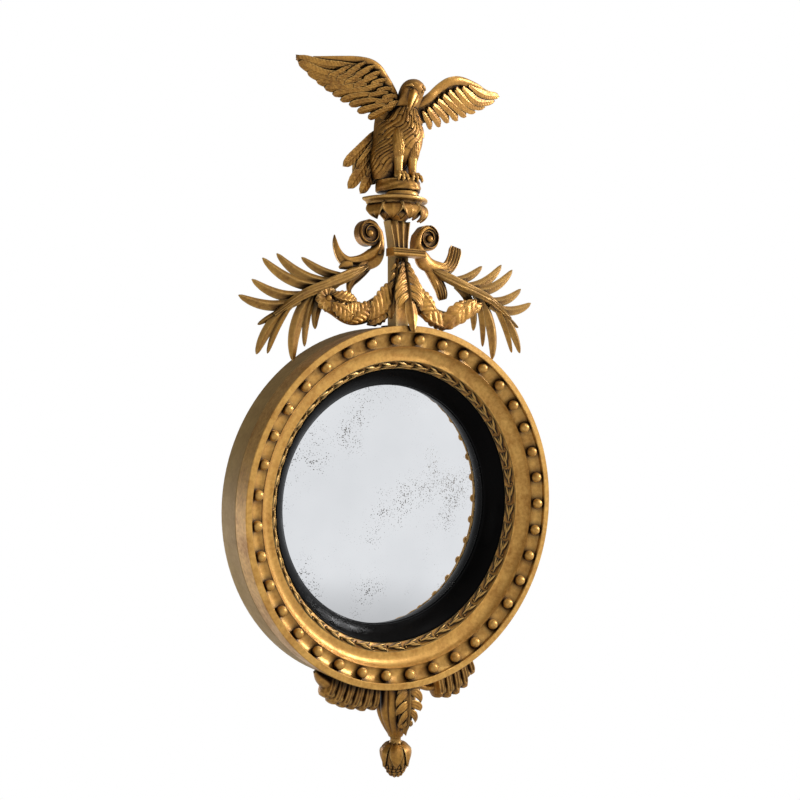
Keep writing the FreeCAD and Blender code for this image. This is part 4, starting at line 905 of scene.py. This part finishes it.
def rings(levels, relief, sides=36):
    """A closed form through level rings of (x, depth, height, half width, half depth)."""
    rows = []
    for (x, depth, height, half, deep), t in zip(*flow(levels, 40)):
        a = np.linspace(0, 2 * pi, sides, endpoint=False)
        cut = relief(a, t)
        rows.append([at(x + (half + cut[k]) * cos(a[k]), depth + (deep + cut[k]) * sin(a[k]), height)
                     for k in range(sides)])
    return skin_rows(rows)


def nape(a, t):
    """Short strands down the neck."""
    return 0.9 * abs(np.sin(5 * a + 3 * t)) * (1 - smooth_step((t - 0.25) / 0.3))


skull = rings([
    (0, 62, 362, 26, 23), (0, 74, 371, 22.5, 23), (0, 84, 379, 21, 22.5), (0, 90, 388, 20.6, 21.5),
    (0, 92, 395, 18, 19), (0, 92, 400, 13, 14), (0, 92, 403, 7, 8), (0, 92, 404, 0.8, 0.8)], nape)
upper_beak = crest_blade([
    (-6, 103, 384, 6, 3, 9), (-9, 107, 378, 7.6, 6, 10), (-13, 109.5, 370, 6.6, 5.5, 9),
    (-17, 111, 360, 4.6, 4, 6), (-19.5, 110, 350, 2.8, 2.5, 4), (-20, 108, 344.5, 0.8, 1, 1.2)],
    40, 16, (-0.35, -0.9, 0.25),
    form=lambda v: 1.15 - 1.0 * abs(v) ** 1.6)
lower_beak = crest_blade([(-1, 104, 376, 6, 4, 6), (-5, 108, 367, 5, 4, 6), (-10, 109, 358, 3.4, 3, 4),
                          (-13, 108, 351, 1, 1, 1)], 24, 10, (-0.1, -0.95, -0.2))
head_parts = [skull, upper_beak, lower_beak]
for x, turn in ((8.5, 0.35), (-13.5, -0.5)):
    set_back = abs(turn) * 6
    brow = [(x - 8, 107 - set_back, 388.5, 1, 1.6, 2), (x, 110.5 - set_back, 389.5, 3.2, 3.4, 3),
            (x + 8, 106 - set_back, 386, 1, 1.6, 2)]
    eye = ball(at(x + 1, 108 - set_back, 383), 3.0, 14, 9)
    head_parts += [crest_blade(brow, 18, 8, (turn, -0.9, 0.3)), eye]
carved("eagle_head", join(head_parts), 50)

# ---- eagle: wings and tail
# Each wing is a pine board set into the shoulder, its feathers carved one over the other in rows; the tail is
# carved in the same way and lies flat against the wall.
LEAD = [
    (20, 76, 374), (33, 86, 385), (52, 91, 405), (68, 96, 417), (85, 97, 422.6), (106, 92, 423.6),
    (137, 85, 420.4), (172, 73, 417.6), (202, 61, 419)]
TRAIL = [
    (36, 52, 334), (50, 52, 337), (66, 52, 340), (80, 52, 347), (96, 53, 356), (116, 54, 362), (140, 55, 374),
    (174, 58, 393), (201, 61, 411)]
WING_STEPS = 200
lead_line = flow(LEAD, WING_STEPS)[0]
trail_line = flow(TRAIL, WING_STEPS)[0]
WING_FACE = (0, -0.86, -0.5)


def wing_spot(side, s, t, lift=0.0):
    """A spot of the wing: s runs from shoulder to tip and t from the leading edge back to the feather ends."""
    i = int(round((WING_STEPS - 1) * min(max(s, 0), 1)))
    x, depth, height = lead_line[i] * (1 - t) + trail_line[i] * t
    arch = 2.0 * sin(pi * min(max(t, 0), 1)) + lift
    return (side * x, -depth - arch * 0.86, RING + height - arch * 0.5)


def plume(spots, half, front, barbs, ridge, belly=1.4, cut=0.5, blunt=0.78, shingle=0.0):
    """A carved feather through spots from quill to rounded tip, with a shaft and slanting barbs.

    shingle raises one edge over the next feather.
    """
    line = flow(spots, 24)[0]
    stations = []
    for i, spot in enumerate(line):
        share = i / 23
        rounding = max(0, (share - blunt) / (1 - blunt))
        wide = min(0.5 + 1.6 * share, 1.0) * sqrt(max(1 - rounding ** 2, 0.004))
        stations.append((*spot, half * wide, ridge, belly))

    def relief(u, v):
        barb = abs(np.sin(pi * (barbs * u - 1.1 * abs(v)))) ** 0.7 - 0.5
        return cut * barb * abs(v) ** 0.4 + 0.5 * cut * np.exp(-(v / 0.14) ** 2) * 2
    return blade(stations, 6 * barbs if barbs > 6 else 36, 14, front, relief=relief,
                 form=lambda v: 0.45 + 0.55 * np.sqrt(1 - 0.98 * v ** 2) + shingle * v)


def wing_feather(side, root, tip, half, barbs, lift, cut):
    """A feather between two places on the wing, each (s, t)."""
    middle = ((root[0] + tip[0]) / 2, (root[1] + tip[1]) / 2)
    spots = [wing_spot(side, *place, lift + up) for place, up in ((root, 0.6), (middle, 0), (tip, -0.8))]
    return plume(spots, half, WING_FACE, barbs, 2.6, cut=1.35 * cut, shingle=0.62)


def wing_board(side, depth_share):
    """The board behind the feathers."""
    sections = []
    for s in np.linspace(0, 0.985, 60):
        front = [wing_spot(side, s, t, -1.0) for t in np.linspace(0.02, depth_share, 8)]
        sections.append(front + [(x, y + 3.5, z + 1.5) for x, y, z in front[::-1]])
    return skin_rows(sections)


def shoulder_roll(side, thick, reach, end, inset=0.05):
    """The smooth band along the leading edge, thick at the arch and dying away outward."""
    stations = []
    for s in np.linspace(0.0, end, 12):
        swell = sin(pi * min(0.25 + s / end * 0.75, 1.0)) ** 0.7
        spot = wing_spot(side, s, inset + 0.02 * swell, 0.2)
        stations.append((*spot, thick * (0.35 + 0.65 * swell), reach * (0.4 + 0.6 * swell), 3.0))
    return blade(stations, 70, 12, WING_FACE)


# Each long feather: its root, its tip, its half width and its number of barbs.
LEFT_QUILLS = [
    ((0.5, 0.2), (1.0, 0.4), 8.2, 17), ((0.46, 0.38), (0.975, 0.9), 8.2, 15),
    ((0.44, 0.42), (0.86, 1.0), 7.8, 12), ((0.4, 0.45), (0.75, 1.0), 7.8, 9),
    ((0.34, 0.48), (0.655, 1.0), 7.6, 8), ((0.28, 0.48), (0.56, 1.0), 7.4, 7),
    ((0.22, 0.48), (0.465, 1.0), 7.2, 6), ((0.16, 0.48), (0.37, 1.0), 7.2, 6),
    ((0.1, 0.48), (0.27, 1.0), 7.2, 6), ((0.04, 0.45), (0.15, 0.98), 7.2, 6)]
RIGHT_QUILLS = [
    ((0.56, 0.12), (1.0, 0.45), 6.6, 15), ((0.48, 0.22), (0.95, 0.98), 7.4, 15),
    ((0.4, 0.26), (0.82, 1.0), 8.0, 14), ((0.33, 0.28), (0.7, 1.0), 8.2, 12),
    ((0.27, 0.3), (0.585, 1.0), 8.0, 11), ((0.21, 0.32), (0.475, 1.0), 7.6, 10),
    ((0.15, 0.34), (0.37, 1.0), 7.4, 9), ((0.09, 0.34), (0.265, 1.0), 7.0, 9),
    ((0.04, 0.36), (0.15, 0.97), 6.4, 8)]
left_parts = [wing_board(-1, 0.84), shoulder_roll(-1, 6.5, 4.6, 0.86)]
left_parts += [wing_feather(-1, *quill, 1.2, 0.75) for quill in LEFT_QUILLS]
# Two rows of short covering feathers lie over the roots of the long ones.
for k in range(8):
    s = 0.68 - 0.082 * k
    left_parts.append(wing_feather(-1, (s - 0.13, 0.22), (s, 0.68 - 0.012 * k), 6.4, 6, 2.6, 0.75))
for k in range(7):
    s = 0.55 - 0.078 * k
    left_parts.append(wing_feather(-1, (s - 0.1, 0.08), (s, 0.42), 5.6, 5, 3.8, 0.7))
carved("eagle_left_wing", join(left_parts))
right_parts = [wing_board(1, 0.8), shoulder_roll(1, 8.5, 5.4, 0.74, 0.08)]
right_parts += [wing_feather(1, *quill, 1.6, 0.4) for quill in RIGHT_QUILLS]
carved("eagle_right_wing", join(right_parts))

# Each tail feather: its root and its tip as (x, height), its half width, its depth and its number of barbs.
TAIL_QUILLS = [((-12, 340), (-93, 263), 9.5, 25.5, 13), ((-14, 326), (-84, 227), 10.5, 26.5, 14),
               ((-9, 318), (-60, 221), 10, 26, 14), ((-3, 312), (-38, 238), 7, 25, 11),
               ((-14, 334), (-70, 262), 6.5, 28, 10), ((-8, 324), (-50, 250), 6, 28, 10)]
tail_parts = [crest_blade([(-8, 25, 344, 6, 2, 4), (-22, 25, 318, 15, 2, 4), (-44, 25, 280, 22, 2, 4),
                           (-60, 25, 256, 19, 2, 4), (-66, 25, 246, 12, 1.5, 3)], 20, 10)]
for root, tip, half, depth, barbs in TAIL_QUILLS:
    spots = [at(root[0], depth, root[1]), at((root[0] + tip[0]) / 2 + 2, depth, (root[1] + tip[1]) / 2 + 2),
             at(tip[0], depth - 0.5, tip[1])]
    tail_parts.append(plume(spots, half, (0, -1, 0), barbs, 2.2, 2.4, cut=1.2, blunt=0.8))
carved("eagle_tail", join(tail_parts))

# ---- apron and pendant
# Under the drum a fluted bell of pine hangs on a dowel between two gadroon fans, with a carved leaf before it;
# below the bell a neck and a bud of pointed petals closed on a cluster of berries.
AXIS_DEPTH = 40


def low(x, depth, drop):
    """A spot of the apron: drop is counted down from the lowest point of the drum."""
    return (x, -depth, -RING - drop)


def hung(outline, sides=40):
    """Turned work of the pendant, from an outline of (radius, drop)."""
    return turned(outline, 0, AXIS_DEPTH, sides, low)


def bell_row(radius, drop, flute):
    """A level of the fluted bell."""
    row = []
    for a in circle(110):
        r = radius - flute * (1 - abs(cos(5.5 * a)) ** 0.6)
        row.append(low(r * cos(a), AXIS_DEPTH + r * sin(a), drop))
    return row


bell = [
    (32.5, -0.5, 0), (33.8, 4, 1.6), (34, 14, 3.4), (34, 28, 3.8), (33.4, 42, 3.6), (30.5, 54, 3.2),
    (26, 65, 2.6), (19.5, 77, 1.6), (14, 86, 0.6), (12.3, 90, 0)]
bell_rows = flow([(0, 0, drop, radius, flute) for radius, drop, flute in bell], 44)[0]
carved("apron_cup", skin_rows([bell_row(radius, drop, flute) for _, _, drop, radius, flute in bell_rows]), 40)
leaf_rows = [
    (78, -4, 8), (79, 8, 9), (80, 22, 10), (79, 38, 10), (77, 50, 9), (73, 64, 7), (68, 76, 4), (66, 80, 1)]
apron_leaf = lobed_leaf([(*low(0, depth, drop), half, 5, 5) for depth, drop, half in leaf_rows],
                        [(0.0, 20, 16, 6.6), (0.1, 24, 26, 7.2), (0.34, 24, 18, 7.0), (0.5, 16, 24, 6.0),
                         (0.7, 9, 14, 4.0)])
carved("apron_leaf", join([apron_leaf, ball(low(-9, 71, 62), 6.5, 18, 12)]))
piece("pendant_neck", hung([(10.8, 90.2), (9.6, 92), (8.9, 95), (9.3, 98), (10.8, 100.8)]), rim_gilding)
bud_parts = [hung([(10.8, 101.2), (17, 104), (21.5, 111), (22.5, 120), (21, 131), (17, 140), (13, 144.8)])]
for row, (half, push, start) in enumerate(((11.5, 0, 0.0), (8.5, -2.2, 0.5))):
    for a in circle(6, start):
        out = np.array([cos(a), sin(a), 0])
        stations = [(*(np.array(low(0, AXIS_DEPTH, drop)) + out * (radius + push)), half * wide, 2.6, 2.5)
                    for radius, drop, wide in (
        (9, 101.5, 0.3), (17, 105, 0.72), (23.4, 112, 1.0), (24.4, 120, 0.9), (23.6, 128, 0.6),
        (22.2, 135, 0.26), (21.4, 139 + 3 * row, 0.04))]
        bud_parts.append(blade(stations, 26, 10, out, form=lambda v: 0.6 + 0.4 * np.cos(pi * v)))
carved("pendant_bud", join(bud_parts), 40)
berry_parts = [hung([(12, 145.2), (13, 148), (11, 153), (6, 157), (1, 158)], 24)]
for count, radius, drop, start in ((17, 17.6, 137.5, 0), (15, 15.8, 143, 0.5), (11, 13.2, 148.6, 0),
                                   (9, 9.6, 153.2, 0.5), (5, 5.4, 155.8, 0), (1, 0, 156.5, 0)):
    berry_parts += [ball(low(radius * cos(a), AXIS_DEPTH + radius * sin(a), drop), 3.4, 12, 8)
                    for a in circle(count, start)]
carved("pendant_berries", join(berry_parts))

# Each lobe of a gadroon fan: x at the drum's edge, x at its end and its drop.
LEFT_LOBES = [
    (-126, -140, 4), (-111, -128, 16), (-94, -111, 24), (-77, -94, 30), (-59, -73, 36), (-43, -52, 38)]
RIGHT_LOBES = [(78, 86, 38), (95, 104, 41), (111, 122, 38), (125, 140, 29), (139, 156, 7)]
# Stations of a lobe and of the filler between two: share of the run, half width, front and back.
LOBE_FORM = [(0, 9.4, 14, 14), (0.45, 10.4, 19, 18), (0.72, 10, 18, 17), (0.88, 8.6, 14, 13), (0.97, 5.6, 9, 8),
             (1, 1, 4, 4)]
FILLER_FORM = [(0, 9, 13, 14), (0.5, 9, 15, 15), (0.82, 6, 12, 12), (0.9, 1, 4, 4)]


def nested(u, v):
    """Grooves that follow a lobe's edge and turn round its end, one inside the other."""
    end = np.clip((u - 0.72) / 0.28, 0, 1)
    inward = 1 - np.sqrt(np.clip(v ** 2 + end ** 2, 0, 1))
    return 1.6 * np.cos(2 * pi * 1.5 * inward) * (inward > 0.02)


def lobe(start, end, drop, form, rows, cols, relief=None):
    """A lobe that hangs from the drum's edge."""
    rim = RING - sqrt(RING ** 2 - start ** 2)
    a = np.array(low(start, AXIS_DEPTH, -rim - 1))
    run = np.array(low(end, AXIS_DEPTH, drop)) - a
    return blade([(*(a + run * share), *size) for share, *size in form], rows, cols, relief=relief)


def gadroon(lobes, stem):
    """A fan of lobes with fillers between them and a stem along the drum."""
    path = [(*low(x, AXIS_DEPTH, drop), half, half * 1.6, half * 1.6) for x, drop, half in stem]
    parts = [blade(path, 24, 10)]
    parts += [lobe(*[(p + q) / 2 for p, q in zip(*pair)], FILLER_FORM, 16, 8) for pair in zip(lobes, lobes[1:])]
    return join(parts + [lobe(*one, LOBE_FORM, 54, 22, nested) for one in lobes])


carved("left_gadroon", gadroon(LEFT_LOBES, [(-118, -6, 9), (-132, -15, 10), (-144, -27, 9), (-155, -40, 3)]))
carved("right_gadroon", gadroon(RIGHT_LOBES, [(36, 6, 4), (52, 14, 5), (68, 18, 6), (82, 16, 7)]))

# ---- back: board, blocks, dowels and hardware
# The back is plain work that is never seen: a board and blocks of bare pine darkened by age, iron screws and
# bracket, and two brass hangers with swinging rings.  The frame's own shapes are kept.


def bare_pine(name, light, dark, along=2):
    """Old softwood: growth lines 9 mm apart and pores drawn out along one axis, under stains of 80 mm."""
    made, tree, where = new_material(name)
    stretch = [1.0, 1.0, 1.0]
    stretch[along] = 0.08
    laid = add_node(tree, "VectorMath", {0: where, 1: stretch}, operation="MULTIPLY")
    tint = ramp(tree, noise(tree, laid, 9, 6.0, Distortion=0.6), dark, light, 0.38, 0.62)
    stain = remap(tree, noise(tree, where, 80, 4.0), 0.45, 0.7, 0.0, 0.5)
    coat(tree, Base_Color=mixed(tree, stain, tint, "#5A4228"), Roughness=0.72,
         Normal=bumped(tree, noise(tree, laid, 0.8, 2.0), 0.4, 0.3))
    return made


def worn_metal(name, light, dark, metal, rough, grain):
    """Old hardware: cloudy tarnish over metal, with fine pits; grain is the clouds' size in millimetres."""
    made, tree, where = new_material(name)
    cloud = noise(tree, where, grain, 5.0)
    coat(tree, Base_Color=mixed(tree, cloud, dark, light), Metallic=metal,
         Roughness=remap(tree, cloud, 0.0, 1.0, rough + 0.15, rough - 0.1),
         Normal=bumped(tree, noise(tree, where, 0.5, 2.0), 0.3, 0.1))
    return made


board_pine = bare_pine("aged_backboard_pine", "#B08A58", "#7C5A34")
block_pine = bare_pine("dusty_block_pine", "#A9855A", "#75552F", along=0)
dark_iron = worn_metal("blued_iron", "#3A3634", "#1B1918", 0.85, 0.5, 3)
old_brass = worn_metal("dull_brass", "#A9853F", "#5E481F", 0.9, 0.4, 4)
for material, nodes in (
        (board_pine, ("backboard", "eagle_dowel", "apron_dowel")), (block_pine, ("glazing_blocks",)),
        (dark_iron, ("backboard_screws", "slip_screws", "crest_bracket_screws", "crest_bracket")),
        (old_brass, ("hanger_screws", "left_hanger_strap", "right_hanger_strap", "left_hanging_ring",
                     "right_hanging_ring"))):
    for node in nodes:
        dress(node, material)

# ---- size and end
low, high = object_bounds()
